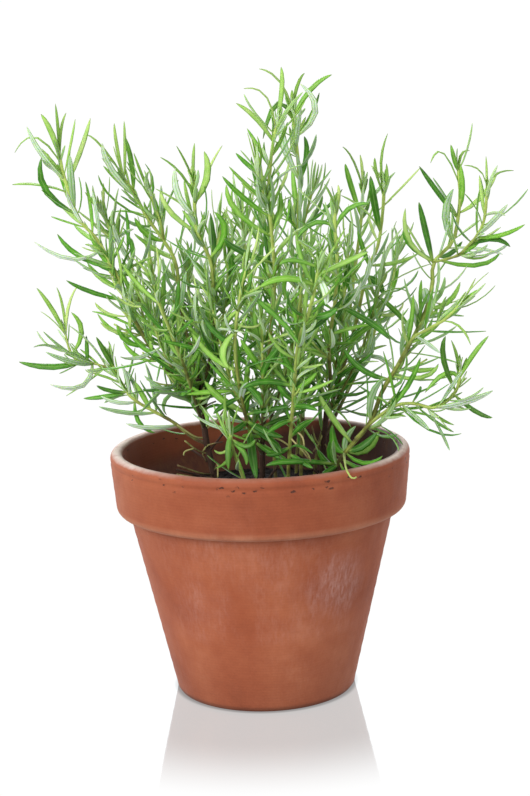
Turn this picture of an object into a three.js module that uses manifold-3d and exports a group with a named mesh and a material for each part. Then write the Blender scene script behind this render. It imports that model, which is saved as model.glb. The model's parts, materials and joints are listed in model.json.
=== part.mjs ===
// A rosemary plant in a round terracotta pot. Millimetres, +Z up. The origin is the middle of
// the pot's foot, on the surface that it stands on. The front is the -Y side, +X is to the right.
//
// The pot is turned clay with a thick rim band and one drain hole. Potting soil fills it to a
// finger's width below the rim. Old stems are brown wood and stand in holes in the soil. Green
// shoots grow from them or straight from the soil, and carry long narrow leaves in crossed pairs.

import * as THREE from "three";
import { mergeVertices } from "three/addons/utils/BufferGeometryUtils.js";
import Module from "manifold-3d";

const wasm = await Module();
wasm.setup();

// ---- driving dimensions -------------------------------------------------------------------

const POT_HEIGHT = 132.5;
const RIM_RADIUS = 80;
const BASE_RADIUS = 48.5;
const BAND_HEIGHT = 33;
const BODY_RADIUS_UNDER_BAND = 70.8;
const BAND_LOWER_RADIUS = 77.8;
const LIP_ROUNDING = 3;
const LIP_WIDTH = 6.4;
const WALL = 6;
const FLOOR = 9;
const DRAIN_RADIUS = 9;
const POT_SIDES = 44;

const SOIL_LEVEL = 107.5;
const SOIL_BUMP = 1.1;
const SOIL_SIDES = 24;
const ROOTING_DEPTH = 34;

const GAP = 0.3;
const HAIR = 0.02;

const STEM_SIDES = 4;
const WOOD_SIDES = 6;
const STEM_STEP = 10;
const WOOD_STEP = 8;
const TWIG_RADIUS = [0.7, 0.5];

const LEAF_PITCH = 7.6;
const LEAF_LENGTH = 26;
const LEAF_WIDTH = 3.2;
const LEAF_THICKNESS = 1;
const LEAF_STEPS = 12;
const YOUNG_LENGTH = 26;
const BROAD_LEAF = 2.4;

// ---- colours --------------------------------------------------------------------------------

const TERRACOTTA = { color: "#b26747", roughness: 0.8, metalness: 0 };
const SOIL = { color: "#241f1d", roughness: 1, metalness: 0 };
const WOOD = { color: "#4a3227", roughness: 0.9, metalness: 0 };
const LEAF_GREEN = { color: "#5d9b38", roughness: 0.55, metalness: 0 };

// ---- the plant's stems ------------------------------------------------------------------------
// Each route is the middle line of a stem from its foot to its growing tip, with its radius at
// both ends. A stem of wood stands in the soil and has a few dead twigs. A green shoot says what
// it grows from, and the distance along it that is bare of leaves. "turn" is the direction of its
// first leaf in degrees.
// "outline" lists the leaves that make the plant's outline: the distance along the shoot, a point
// halfway along the leaf, its tip, its width, and UNDERSIDE where its pale face is to the front.

const SOIL_FOOT = SOIL_LEVEL - ROOTING_DEPTH;
const UNDERSIDE = true;

const WOODY_STEMS = [
  {
    name: "woody_stem_left",
    route: [[-25, 6, SOIL_FOOT], [-25, 6, 110], [-29, 6, 135], [-30, 5, 152], [-32, 5, 169]],
    radius: [2.1, 1.5],
    twigs: [
      [[-25, 6, 113], [-45, -3, 121]],
      [[-28, 6, 128], [-20, 0, 139]],
      [[-27, 6, 123], [-38, 15, 128]],
    ],
  },
  {
    name: "woody_stem_centre",
    route: [[0, -20, SOIL_FOOT], [0, -20, 110], [1, -19, 124], [1, -20, 138]],
    radius: [1.9, 1.5],
    twigs: [[[0, -20, 114], [9, -16, 124]]],
  },
  {
    name: "woody_stem_right",
    route: [[33, 3, SOIL_FOOT], [33, 3, 110], [34, 1, 130], [36, 0, 150]],
    radius: [1.9, 1.4],
    twigs: [[[33, 3, 113], [20, 6, 126]], [[34, 2, 122], [43, -4, 133]]],
  },
];

const SHOOTS = [
  // the left plant
  {
    name: "shoot_left_outer",
    from: "woody_stem_left",
    route: [
      [-31, 5, 149], [-37, 3, 159], [-46, -1, 173], [-57, -4, 189], [-68, -6, 212],
      [-72, -5, 226], [-82, -1, 245], [-92, 3, 257], [-99, 7, 279], [-101, 9, 291],
    ],
    radius: [1.5, 0.8],
    bare: 12,
    turn: 24,
    outline: [
      [161, [-101, 9, 302], [-102, 11, 316], 1.8],
      [160, [-100, 12, 302], [-97, 15, 311], 1.8],
      [159, [-104, 5, 301], [-109, 4, 311], 3],
      [156, [-113, 10, 299], [-125, 14, 291], 1.8],
      [148, [-109, 1, 290], [-116, -1, 305], 3, UNDERSIDE],
      [150, [-95, 3, 292], [-91, 1, 308], 2.2],
      [145, [-90, 10, 291], [-84, 10, 308], 2.8],
      [129, [-108, -1, 272], [-109, -3, 289], 3.6],
      [132, [-94, -5, 277], [-94, -6, 290], 3.8, UNDERSIDE],
      [106, [-95, -6, 236], [-114, -10, 246], 2.8, UNDERSIDE],
      [94, [-92, -1, 237], [-103, -1, 249], 3],
      [82, [-80, 0, 224], [-88, 2, 232], 3],
      [76, [-85, -11, 219], [-98, -14, 226], 2.8],
      [58, [-75, -1, 204], [-87, 3, 207], 2.4],
      [49, [-68, -9, 192], [-73, -12, 202], 3],
    ],
  },
  {
    name: "branch_left_outer",
    from: "shoot_left_outer",
    route: [[-57, -4, 189], [-62, 8, 212], [-67, 14, 233], [-77, 20, 249], [-81, 22, 258]],
    radius: [1, 0.7],
    bare: 8,
    turn: 70,
  },
  {
    name: "shoot_left_leader",
    from: "woody_stem_left",
    route: [
      [-32, 5, 169], [-34, 12, 182], [-38, 18, 191], [-41, 23, 208], [-43, 30, 228],
      [-49, 33, 240], [-58, 36, 253], [-65, 39, 267], [-70, 40, 274],
    ],
    radius: [1.4, 0.8],
    bare: 6,
    turn: 50,
    outline: [
      [120, [-73, 40, 291], [-74, 40, 304], 2],
      [120, [-69, 43, 290], [-69, 45, 305], 1.8],
      [118, [-81, 43, 291], [-90, 46, 298], 1.8],
      [112, [-65, 34, 282], [-68, 33, 297], 3],
      [108, [-76, 32, 280], [-80, 29, 294], 3.4, UNDERSIDE],
      [95, [-75, 32, 263], [-83, 30, 277], 2.2],
      [80, [-58, 27, 245], [-64, 25, 254], 3.6],
    ],
  },
  {
    name: "branch_left_leader",
    from: "shoot_left_leader",
    route: [[-49, 33, 240], [-51, 29, 253], [-56, 26, 268]],
    radius: [0.8, 0.6],
    bare: 6,
    turn: 10,
  },
  {
    name: "shoot_left_inner",
    from: "woody_stem_left",
    route: [
      [-31, 5, 161], [-26, -1, 177], [-23, -6, 200], [-22, -10, 218], [-23, -13, 234],
      [-29, -16, 249], [-30, -17, 261], [-30, -19, 276],
    ],
    radius: [1.4, 0.8],
    bare: 8,
    turn: 0,
    outline: [
      [120, [-30, -17, 286], [-29, -17, 295], 1.8],
      [119, [-33, -21, 284], [-38, -22, 294], 1.8],
      [109, [-23, -23, 278], [-24, -24, 291], 3.8],
      [106, [-23, -13, 280], [-15, -10, 293], 1.8],
      [112, [-37, -14, 280], [-47, -12, 288], 2],
      [102, [-38, -23, 269], [-39, -25, 283], 3.6, UNDERSIDE],
      [93, [-42, -20, 260], [-47, -20, 271], 3],
      [78, [-15, -18, 249], [-20, -20, 260], 3.6],
    ],
  },
  {
    name: "shoot_left_low",
    from: "woody_stem_left",
    route: [
      [-29, 6, 133], [-36, 8, 136], [-47, 13, 144], [-58, 20, 149], [-68, 26, 154],
      [-73, 30, 159], [-79, 33, 170], [-81, 34, 177],
    ],
    radius: [1.5, 0.8],
    bare: 12,
    turn: 35,
    outline: [
      [71, [-83, 31, 179], [-88, 30, 189], 3],
      [56, [-85, 34, 155], [-97, 35, 154], 3],
      [49, [-66, 20, 143], [-57, 18, 137], 2.6],
    ],
  },
  {
    name: "branch_left_low",
    from: "shoot_left_low",
    route: [
      [-79, 33, 170], [-85, 34, 172], [-93, 36, 174], [-100, 38, 175], [-104, 40, 181], [-106, 41, 189],
    ],
    radius: [0.9, 0.6],
    bare: 5,
    turn: 80,
    outline: [
      [38, [-112, 39, 203], [-120, 37, 216], 2.6],
      [38, [-107, 44, 204], [-110, 45, 215], 1.6],
      [37, [-104, 43, 204], [-98, 43, 216], 2.2],
      [27, [-96, 32, 192], [-101, 30, 203], 3],
      [28, [-115, 44, 182], [-122, 44, 191], 2.4, UNDERSIDE],
      [20, [-114, 36, 172], [-132, 38, 175], 3.8],
      [13, [-97, 29, 162], [-114, 26, 164], 3.4, UNDERSIDE],
    ],
  },
  {
    name: "shoot_left_back",
    from: "woody_stem_left",
    route: [[-30, 6, 157], [-42, 24, 178], [-52, 44, 201], [-58, 60, 222], [-60, 67, 235]],
    radius: [1.3, 0.8],
    bare: 10,
    turn: 15,
  },
  {
    name: "shoot_left_rear",
    from: "woody_stem_left",
    route: [[-29, 6, 146], [-29, 24, 172], [-27, 42, 199], [-23, 58, 222], [-19, 67, 244]],
    radius: [1.4, 0.8],
    bare: 14,
    turn: 60,
  },
  {
    name: "shoot_left_front",
    from: "woody_stem_left",
    route: [
      [-30, 6, 141], [-33, -10, 158], [-37, -26, 178], [-43, -40, 200], [-48, -50, 217],
      [-51, -55, 229],
    ],
    radius: [1.4, 0.8],
    bare: 12,
    turn: 45,
  },
  // the middle
  {
    name: "shoot_centre",
    from: "woody_stem_centre",
    route: [
      [1, -20, 138], [4, -21, 160], [7, -23, 195], [10, -25, 225], [9, -27, 250],
      [8, -28, 268], [10, -28, 289], [13, -28, 304],
    ],
    radius: [1.5, 0.8],
    bare: 8,
    turn: 30,
    outline: [
      [165, [16, -24, 320], [16, -22, 332], 2.6],
      [164, [8, -32, 318], [-3, -34, 322], 1.8],
      [162, [2, -25, 310], [-3, -23, 319], 2.4, UNDERSIDE],
      [158, [3, -33, 307], [-7, -35, 315], 2.8],
      [120, [-5, -31, 268], [-15, -35, 279], 3],
      [110, [-8, -36, 261], [-13, -39, 275], 3.2],
      [96, [-7, -34, 241], [-15, -38, 248], 3.4],
    ],
  },
  {
    name: "branch_centre",
    from: "shoot_centre",
    route: [[9, -27, 256], [5, -32, 272], [3, -35, 281]],
    radius: [0.8, 0.6],
    bare: 6,
    turn: 0,
  },
  {
    name: "shoot_centre_front",
    from: "woody_stem_centre",
    route: [
      [1, -20, 132], [-5, -30, 148], [-9, -42, 170], [-11, -51, 195], [-8, -58, 219],
      [-4, -62, 236],
    ],
    radius: [1.4, 0.8],
    bare: 10,
    turn: 65,
  },
  {
    name: "shoot_basal_front",
    from: "potting_soil",
    route: [[-6, -36, SOIL_FOOT], [-6, -36, 110], [-9, -39, 124], [-13, -44, 138], [-15, -48, 151]],
    radius: [1.2, 0.7],
    bare: 44,
    turn: 15,
    outline: [
      [70, [-3, -50, 139], [-1, -51, 127], 4],
      [66, [-17, -50, 140], [-19, -50, 129], 3.4],
    ],
  },
  {
    name: "shoot_front",
    from: "potting_soil",
    route: [
      [14, -30, SOIL_FOOT], [14, -30, 110], [15, -33, 132], [17, -41, 157], [19, -50, 181],
      [21, -58, 199], [25, -65, 210], [29, -72, 225], [31, -77, 238],
    ],
    radius: [1.6, 0.8],
    bare: 46,
    turn: 25,
  },
  {
    name: "shoot_tallest",
    from: "potting_soil",
    route: [
      [22, 20, SOIL_FOOT], [22, 20, 110], [24, 22, 152], [24, 24, 207], [24, 24, 253],
      [25, 22, 268], [24, 20, 288], [22, 18, 311],
    ],
    radius: [1.8, 0.8],
    bare: 50,
    turn: 10,
    outline: [
      [237, [15, 15, 325], [5, 15, 331], 2.2],
      [237, [25, 22, 322], [29, 24, 328], 2.2],
      [233, [32, 15, 320], [43, 14, 327], 3],
      [222, [34, 11, 309], [26, 8, 323], 3.4, UNDERSIDE],
      [230, [14, 10, 313], [6, 6, 295], 3],
      [199, [17, 12, 291], [17, 11, 305], 4, UNDERSIDE],
    ],
  },
  {
    name: "branch_tallest",
    from: "shoot_tallest",
    route: [[24, 24, 236], [28, 29, 252], [32, 33, 265]],
    radius: [0.8, 0.6],
    bare: 6,
    turn: 55,
  },
  {
    name: "shoot_rear",
    from: "potting_soil",
    route: [
      [8, 36, SOIL_FOOT], [8, 36, 110], [6, 44, 142], [2, 53, 175], [-3, 61, 208],
      [-6, 67, 236], [-7, 70, 252],
    ],
    radius: [1.6, 0.8],
    bare: 48,
    turn: 40,
  },
  // the right plant
  {
    name: "shoot_right_rear",
    from: "potting_soil",
    route: [
      [30, 31, SOIL_FOOT], [30, 31, 110], [36, 34, 136], [43, 39, 155], [50, 46, 187],
      [56, 55, 223], [60, 60, 249], [61, 62, 264],
    ],
    radius: [1.6, 0.8],
    bare: 50,
    turn: 75,
    outline: [
      [197, [56, 60, 279], [50, 58, 287], 2.2],
      [197, [61, 65, 274], [60, 66, 282], 1.8],
      [181, [54, 54, 266], [51, 53, 278], 3.2],
    ],
  },
  {
    name: "shoot_back_right",
    from: "potting_soil",
    route: [
      [20, 42, SOIL_FOOT], [20, 42, 110], [24, 49, 140], [31, 57, 173], [38, 64, 204], [43, 68, 228],
    ],
    radius: [1.5, 0.8],
    bare: 48,
    turn: 5,
  },
  {
    name: "shoot_right_front",
    from: "woody_stem_right",
    route: [
      [36, 0, 150], [38, -12, 168], [37, -30, 190], [40, -44, 216], [41, -54, 236],
      [40, -60, 253], [40, -62, 264],
    ],
    radius: [1.4, 0.8],
    bare: 8,
    turn: 85,
    outline: [
      [128, [39, -65, 268], [35, -66, 276], 2.4],
      [128, [42, -60, 268], [42, -59, 275], 2],
      [121, [47, -65, 264], [57, -68, 266], 2.8],
    ],
  },
  {
    name: "shoot_right_inner",
    from: "woody_stem_right",
    route: [
      [35, 1, 142], [42, 9, 160], [53, 14, 194], [60, 17, 223], [66, 18, 236],
      [69, 20, 254], [70, 21, 267],
    ],
    radius: [1.4, 0.8],
    bare: 10,
    turn: 30,
    outline: [
      [129, [66, 18, 274], [65, 17, 283], 2.4],
      [128, [71, 16, 270], [71, 14, 280], 2.2],
      [109, [64, 10, 260], [62, 8, 274], 4],
      [123, [80, 23, 267], [90, 24, 277], 1.8],
      [133, [69, 27, 281], [73, 30, 295], 1.6],
    ],
  },
  {
    name: "shoot_right_back",
    from: "woody_stem_right",
    route: [[34, 2, 134], [48, 20, 156], [62, 37, 180], [73, 50, 206], [80, 58, 228]],
    radius: [1.4, 0.8],
    bare: 14,
    turn: 0,
  },
  {
    name: "shoot_right_main",
    from: "potting_soil",
    route: [
      [36, -24, SOIL_FOOT], [36, -24, 110], [41, -25, 128], [57, -30, 149], [64, -30, 166],
      [73, -28, 180], [84, -22, 198], [89, -18, 209], [92, -14, 219], [93, -12, 230],
      [103, -6, 239], [106, -4, 248], [108, -2, 264], [107, 0, 279],
    ],
    radius: [2, 0.9],
    bare: 44,
    turn: 60,
    outline: [
      [228, [105, -4, 282], [103, -5, 290], 2.6],
      [226, [109, 3, 284], [114, 6, 286], 1.8],
      [220, [99, -5, 286], [92, -9, 281], 1.8],
      [203, [96, -1, 266], [87, 0, 279], 3],
      [206, [119, 0, 262], [128, 2, 275], 2.8],
      [191, [99, -15, 255], [103, -16, 268], 4.2, UNDERSIDE],
      [175, [80, -17, 242], [78, -19, 259], 2.8],
      [174, [89, -8, 247], [86, -7, 261], 3.4],
      [177, [116, -5, 227], [129, -1, 233], 2.8],
      [150, [100, -13, 209], [107, -9, 219], 3],
      [84, [58, -37, 165], [65, -38, 175], 3.8, UNDERSIDE],
      [68, [37, -34, 155], [31, -36, 167], 3.4],
      [63, [56, -20, 133], [63, -16, 142], 4],
      [58, [56, -28, 124], [63, -30, 131], 3],
      [54, [17, -42, 133], [3, -46, 132], 3.4],
      [56, [46, -37, 122], [49, -41, 126], 2],
    ],
  },
  {
    name: "branch_right_upper",
    from: "shoot_right_main",
    route: [
      [93, -12, 230], [104, -20, 234], [109, -28, 240], [113, -34, 246], [116, -38, 254],
      [117, -42, 268],
    ],
    radius: [1, 0.7],
    bare: 8,
    turn: 20,
    outline: [
      [33, [124, -39, 246], [135, -48, 252], 2.8],
      [24, [120, -35, 244], [129, -39, 240], 3.2],
      [58, [121, -39, 276], [131, -37, 278], 1.6],
      [57, [114, -46, 278], [105, -48, 282], 1.6],
    ],
  },
  {
    name: "branch_right_low",
    from: "shoot_right_main",
    route: [
      [50, -28, 141], [61, -34, 153], [71, -38, 160], [80, -40, 161], [89, -42, 159],
      [97, -42, 163], [102, -42, 170], [103, -42, 179],
    ],
    radius: [1.3, 0.7],
    bare: 18,
    turn: 45,
    outline: [
      [50, [104, -46, 162], [119, -47, 168], 4.2, UNDERSIDE],
      [62, [111, -39, 156], [120, -37, 152], 2.8],
      [71, [109, -45, 186], [117, -46, 196], 2.6],
      [64, [94, -48, 185], [95, -49, 197], 3],
      [71, [102, -39, 184], [99, -38, 193], 2],
      [31, [88, -42, 147], [103, -46, 146], 2],
    ],
  },
  {
    name: "branch_right_middle",
    from: "shoot_right_main",
    route: [[73, -28, 180], [79, -38, 194], [87, -43, 200], [95, -46, 205], [103, -48, 213]],
    radius: [1.1, 0.7],
    bare: 8,
    turn: 10,
    outline: [
      [37, [102, -48, 212], [111, -49, 220], 3],
      [38, [102, -51, 202], [107, -54, 193], 1.8],
    ],
  },
];

// ---- repeatable scatter -------------------------------------------------------------------------

// A number from -1 to 1 that is the same on every run for the same shoot, leaf and use.
function scatter(shoot, leaf, use) {
  const wave = Math.sin(shoot * 127.1 + leaf * 311.7 + use * 74.7) * 43758.5453;
  return 2 * (wave - Math.floor(wave)) - 1;
}

// ---- solids -------------------------------------------------------------------------------------

// A closed geometry as a solid that can be joined and cut.
function solidOf(geometry) {
  geometry.deleteAttribute("normal");
  geometry.deleteAttribute("uv");
  const merged = mergeVertices(geometry, 1e-4);
  return new wasm.Manifold(
    new wasm.Mesh({
      numProp: 3,
      vertProperties: merged.attributes.position.array,
      triVerts: new Uint32Array(merged.index.array),
    }),
  );
}

// A solid as a geometry, for its mesh.
function geometryOf(solid) {
  const mesh = solid.getMesh();
  const positions = new Float32Array(mesh.numVert * 3);
  for (let i = 0; i < mesh.numVert; i++) {
    const start = i * mesh.numProp;
    positions.set(mesh.vertProperties.subarray(start, start + 3), i * 3);
  }
  const geometry = new THREE.BufferGeometry();
  geometry.setAttribute("position", new THREE.BufferAttribute(positions, 3));
  geometry.setIndex(new THREE.BufferAttribute(mesh.triVerts, 1));
  geometry.computeVertexNormals();
  return geometry;
}

// The largest of a solid's separate bodies: a cut can leave loose scraps, which are dropped.
// Slivers smaller than a hair's width are smoothed away first.
function largestBody(solid) {
  const bodies = solid.simplify(HAIR).decompose();
  bodies.sort((a, b) => b.volume() - a.volume());
  return bodies[0];
}

// Whether two solids come nearer to each other than a distance.
function isNear(a, b, distance) {
  const boxA = a.boundingBox();
  const boxB = b.boundingBox();
  for (let i = 0; i < 3; i++) {
    if (boxA.min[i] - distance > boxB.max[i]) return false;
    if (boxB.min[i] - distance > boxA.max[i]) return false;
  }
  return a.minGap(b, distance) < distance;
}

// ---- pot ----------------------------------------------------------------------------------------

function lathe(profile, sides) {
  const points = profile.map(([radius, z]) => new THREE.Vector2(radius, z));
  return new THREE.LatheGeometry(points, sides).rotateX(Math.PI / 2);
}

// Points on a rounded edge about a centre, from one angle to another in degrees.
function rounding(radius, z, size, from, to, steps) {
  const points = [];
  for (let i = 0; i <= steps; i++) {
    const angle = THREE.MathUtils.degToRad(from + ((to - from) * i) / steps);
    points.push([radius + size * Math.cos(angle), z + size * Math.sin(angle)]);
  }
  return points;
}

const BAND_FOOT = POT_HEIGHT - BAND_HEIGHT;
const INNER_RIM_RADIUS = RIM_RADIUS - LIP_WIDTH;
const INNER_BASE_RADIUS = BASE_RADIUS - WALL;

// The inner wall from the lip down: it narrows a little under the lip, steps in behind the band's
// foot, and runs down the body as a cone.
const INNER_WALL = [
  [INNER_RIM_RADIUS, POT_HEIGHT - LIP_ROUNDING],
  [INNER_RIM_RADIUS - 1.6, BAND_FOOT + 13],
  [BODY_RADIUS_UNDER_BAND - WALL + 0.8, BAND_FOOT - 1],
  [INNER_BASE_RADIUS, FLOOR],
];

function innerRadius(z) {
  const step = INNER_WALL.findIndex(([, height], i) => i > 0 && z >= height);
  const [upperRadius, upper] = INNER_WALL[step - 1];
  const [lowerRadius, lower] = INNER_WALL[step];
  return lowerRadius + ((upperRadius - lowerRadius) * (z - lower)) / (upper - lower);
}

// The band's foot is a round edge that turns in to the body, and the lip is rounded both ways.
const POT_PROFILE = [
  [DRAIN_RADIUS, 0],
  [BASE_RADIUS - 1, 0],
  [BASE_RADIUS, 1.5],
  [BODY_RADIUS_UNDER_BAND, BAND_FOOT - 3],
  ...rounding(BAND_LOWER_RADIUS - 4, BAND_FOOT + 2, 4, -80, 0, 3),
  ...rounding(RIM_RADIUS - LIP_ROUNDING, POT_HEIGHT - LIP_ROUNDING, LIP_ROUNDING, 10, 90, 3),
  ...rounding(INNER_RIM_RADIUS + 2, POT_HEIGHT - 2, 2, 100, 180, 2),
  INNER_WALL[1],
  INNER_WALL[2],
  [INNER_BASE_RADIUS + 1.5, FLOOR + 2.5],
  [INNER_BASE_RADIUS - 1.5, FLOOR],
  [DRAIN_RADIUS, FLOOR],
  [DRAIN_RADIUS, 0],
];

const pot = solidOf(lathe(POT_PROFILE, POT_SIDES));

// ---- soil ---------------------------------------------------------------------------------------

// The surface of the soil: flat clods and hollows, level at the wall.
function soilHeight(x, y) {
  const wide = Math.sin(x * 0.11 + 1.3) * Math.cos(y * 0.13 - 0.4);
  const fine = Math.sin(x * 0.37 - y * 0.21) * Math.cos(y * 0.41 + x * 0.09);
  return SOIL_LEVEL + SOIL_BUMP * (wide + 0.6 * fine);
}

function soilSolid() {
  const wallRadius = (z) => innerRadius(z) - GAP;
  const profile = [
    [0, FLOOR + GAP],
    [INNER_BASE_RADIUS - 2, FLOOR + GAP],
    [wallRadius(FLOOR + 4) - 0.6, FLOOR + 4],
    [wallRadius(INNER_WALL[2][1]) - 0.2, INNER_WALL[2][1]],
    [wallRadius(SOIL_LEVEL) - 0.2, SOIL_LEVEL],
  ];
  const rings = 4;
  for (let ring = rings - 1; ring >= 0; ring--) {
    profile.push([((wallRadius(SOIL_LEVEL) - 0.2) * ring) / rings, SOIL_LEVEL]);
  }
  const geometry = lathe(profile, SOIL_SIDES);
  const position = geometry.attributes.position;
  for (let i = 0; i < position.count; i++) {
    const x = position.getX(i);
    const y = position.getY(i);
    const rim = wallRadius(SOIL_LEVEL) - 0.5;
    if (position.getZ(i) > SOIL_LEVEL - 0.01 && Math.hypot(x, y) < rim) {
      position.setZ(i, soilHeight(x, y));
    }
  }
  return solidOf(geometry);
}

// ---- stems --------------------------------------------------------------------------------------

function curveOf(route) {
  const points = route.map(([x, y, z]) => new THREE.Vector3(x, y, z));
  return new THREE.CatmullRomCurve3(points, false, "catmullrom", 0.5);
}

// Two directions square to a stem. Both turn smoothly along it, as the Y direction is never along it.
function acrossOf(along) {
  const first = new THREE.Vector3(0, 1, 0).addScaledVector(along, -along.y).normalize();
  const second = new THREE.Vector3().crossVectors(along, first);
  return [first, second];
}

function stepsOf(curve, step) {
  return Math.max(2, Math.round(curve.getLength() / step));
}

// A stem along a curve: a cylinder whose rings are moved on to the curve. A green stem has four
// sides, as young rosemary has, and "turn" sets them square to its pairs of leaves.
function stemSolid(curve, radius, sides, step, turn = 0, extra = 0) {
  const steps = stepsOf(curve, step);
  const firstCorner = THREE.MathUtils.degToRad(turn + 45);
  const geometry = new THREE.CylinderGeometry(1, 1, 1, sides, steps);
  const position = geometry.attributes.position;
  for (let i = 0; i < position.count; i++) {
    const part = position.getY(i) + 0.5;
    const along = curve.getTangentAt(part);
    const [first, second] = acrossOf(along);
    const reach = Math.hypot(position.getX(i), position.getZ(i));
    const size = reach * (radius[0] + (radius[1] - radius[0]) * part + extra);
    const corner = Math.atan2(position.getX(i), position.getZ(i)) + firstCorner;
    const point = curve
      .getPointAt(part)
      .addScaledVector(first, Math.cos(corner) * size)
      .addScaledVector(second, Math.sin(corner) * size);
    if (extra > 0) point.addScaledVector(along, (part < 0.5 ? -1 : 1) * endOf(part) * extra);
    position.setXYZ(i, point.x, point.y, point.z);
  }
  return solidOf(geometry);
}

// 1 at either end of a stem and 0 between them, so that a grown copy is longer too.
function endOf(part) {
  return part < 1e-6 || part > 1 - 1e-6 ? 1 : 0;
}

// The middle of a green stem at a distance along it: on the straight run between two of its rings.
function middleOf(shoot, distance) {
  const steps = stepsOf(shoot.curve, STEM_STEP);
  const at = Math.min(steps, (distance / shoot.length) * steps);
  const ring = Math.min(steps - 1, Math.floor(at));
  const start = shoot.curve.getPointAt(ring / steps);
  return start.lerp(shoot.curve.getPointAt((ring + 1) / steps), at - ring);
}

// ---- leaves -------------------------------------------------------------------------------------

// How many pairs of leaves a shoot bears, and how far along it each pair sits: the pairs are
// crowded at the growing tip.
function pairsOn(shoot) {
  return Math.round((shoot.length - shoot.bare) / LEAF_PITCH) + 3;
}

function pairDistance(shoot, pair) {
  const part = pair / (pairsOn(shoot) - 1);
  return shoot.bare + (shoot.length - shoot.bare - 0.5) * (1 - (1 - part) ** 1.3);
}

// One leaf by the plant's rule: where it sits, the directions along and out of its stem, its
// size, its angle to the stem, how much it curves away from or towards it, and its roll.
function leafRule(shoot, pair, side) {
  const leaf = pair * 2 + side;
  const draw = (use) => scatter(shoot.number, leaf, use);
  const distance = pairDistance(shoot, pair);
  const part = distance / shoot.length;
  const along = shoot.curve.getTangentAt(part);
  const [first, second] = acrossOf(along);
  const young = THREE.MathUtils.clamp(1 - (shoot.length - distance) / YOUNG_LENGTH, 0, 1);
  const azimuth = THREE.MathUtils.degToRad(shoot.turn + 90 * pair + 180 * side + 20 * draw(1));
  const out = first.multiplyScalar(Math.cos(azimuth)).addScaledVector(second, Math.sin(azimuth));
  const last = pair === pairsOn(shoot) - 1 ? 0.75 : 1;
  const curl = draw(7) > 0.8 ? 55 : 0;
  return {
    base: middleOf(shoot, distance),
    along,
    out,
    length: LEAF_LENGTH * (1 + 0.24 * draw(2)) * (1 - 0.14 * young) * last,
    width: LEAF_WIDTH * (1 + 0.24 * draw(3)) * (1 - 0.42 * young),
    angle: 50 + 13 * draw(4) - 26 * young,
    bend: -10 + 30 * draw(5) + curl,
    roll: 38 * draw(6),
  };
}

// The middle line of a leaf by the rule, from its stem's middle to its tip, with the leaf's own
// directions at each step: on along it, and up out of its upper face. Leaves turn up to the light.
function leafLine(leaf) {
  const line = [];
  const point = leaf.base.clone();
  for (let i = 0; i <= LEAF_STEPS; i++) {
    const part = i / LEAF_STEPS;
    const angle = THREE.MathUtils.degToRad(leaf.angle + leaf.bend * part);
    const on = leaf.along.clone().multiplyScalar(Math.cos(angle));
    on.addScaledVector(leaf.out, Math.sin(angle));
    on.z += 0.28 * part;
    on.normalize();
    const up = leaf.along.clone().multiplyScalar(Math.sin(angle));
    up.addScaledVector(leaf.out, -Math.cos(angle));
    up.addScaledVector(on, -up.dot(on)).normalize();
    up.applyAxisAngle(on, THREE.MathUtils.degToRad(leaf.roll));
    line.push({ point: point.clone(), on, up });
    point.addScaledVector(on, leaf.length / LEAF_STEPS);
  }
  return line;
}

// The middle line of a leaf of the outline: an arc from its stem through the halfway point to the
// tip. A broad leaf shows a face to the front, and a narrow one is turned up to the light.
function outlineLine(shoot, [distance, halfway, tip, width, underside]) {
  const base = middleOf(shoot, distance);
  const end = new THREE.Vector3(...tip);
  const ends = base.clone().add(end);
  const bow = new THREE.Vector3(...halfway).multiplyScalar(2).addScaledVector(ends, -0.5);
  const arc = new THREE.QuadraticBezierCurve3(base, bow, end);
  const facing = new THREE.Vector3(0, underside ? 1 : -1, width > BROAD_LEAF ? 0.6 : 2.5);
  const line = [];
  for (let i = 0; i <= LEAF_STEPS; i++) {
    const part = i / LEAF_STEPS;
    const on = arc.getTangent(part);
    const up = facing.clone().addScaledVector(on, -facing.dot(on)).normalize();
    line.push({ point: arc.getPoint(part), on, up });
  }
  return line;
}

// A leaf blade: a slim three-sided spindle whose rings are moved on to the leaf's middle line.
// Each ring has its part of the leaf's length and its part of the full width. The foot's point is
// sunk in the stem. One side is the flat underside, and two meet in the ridge of the upper face.
const LEAF_RINGS = [[0, 0], [0.25, 0.85], [0.67, 1], [1, 0]];
const CORNER_REACH = Math.sin(Math.PI / 1.5);
const RIDGE_REACH = LEAF_THICKNESS / (1 + Math.cos(Math.PI / 3));

function leafSolid(line, width, sunk) {
  const profile = LEAF_RINGS.map(([, size], ring) => new THREE.Vector2(size, ring));
  const geometry = new THREE.LatheGeometry(profile, 3);
  const position = geometry.attributes.position;
  for (let i = 0; i < position.count; i++) {
    const [part] = LEAF_RINGS[Math.round(position.getY(i))];
    const { point, on, up } = line[Math.round(part * LEAF_STEPS)];
    const edge = new THREE.Vector3().crossVectors(on, up);
    const placed = point.clone();
    placed.addScaledVector(edge, (position.getX(i) / CORNER_REACH) * (width / 2));
    placed.addScaledVector(up, position.getZ(i) * RIDGE_REACH);
    if (part === 0) placed.addScaledVector(on, -sunk);
    position.setXYZ(i, placed.x, placed.y, placed.z);
  }
  return solidOf(geometry);
}

// The leaves of a shoot that make the plant's outline.
function outlineLeaves(shoot) {
  return (shoot.outline ?? []).map((mark) => ({
    shoot,
    distance: mark[0],
    line: outlineLine(shoot, mark),
    width: mark[3],
  }));
}

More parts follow.
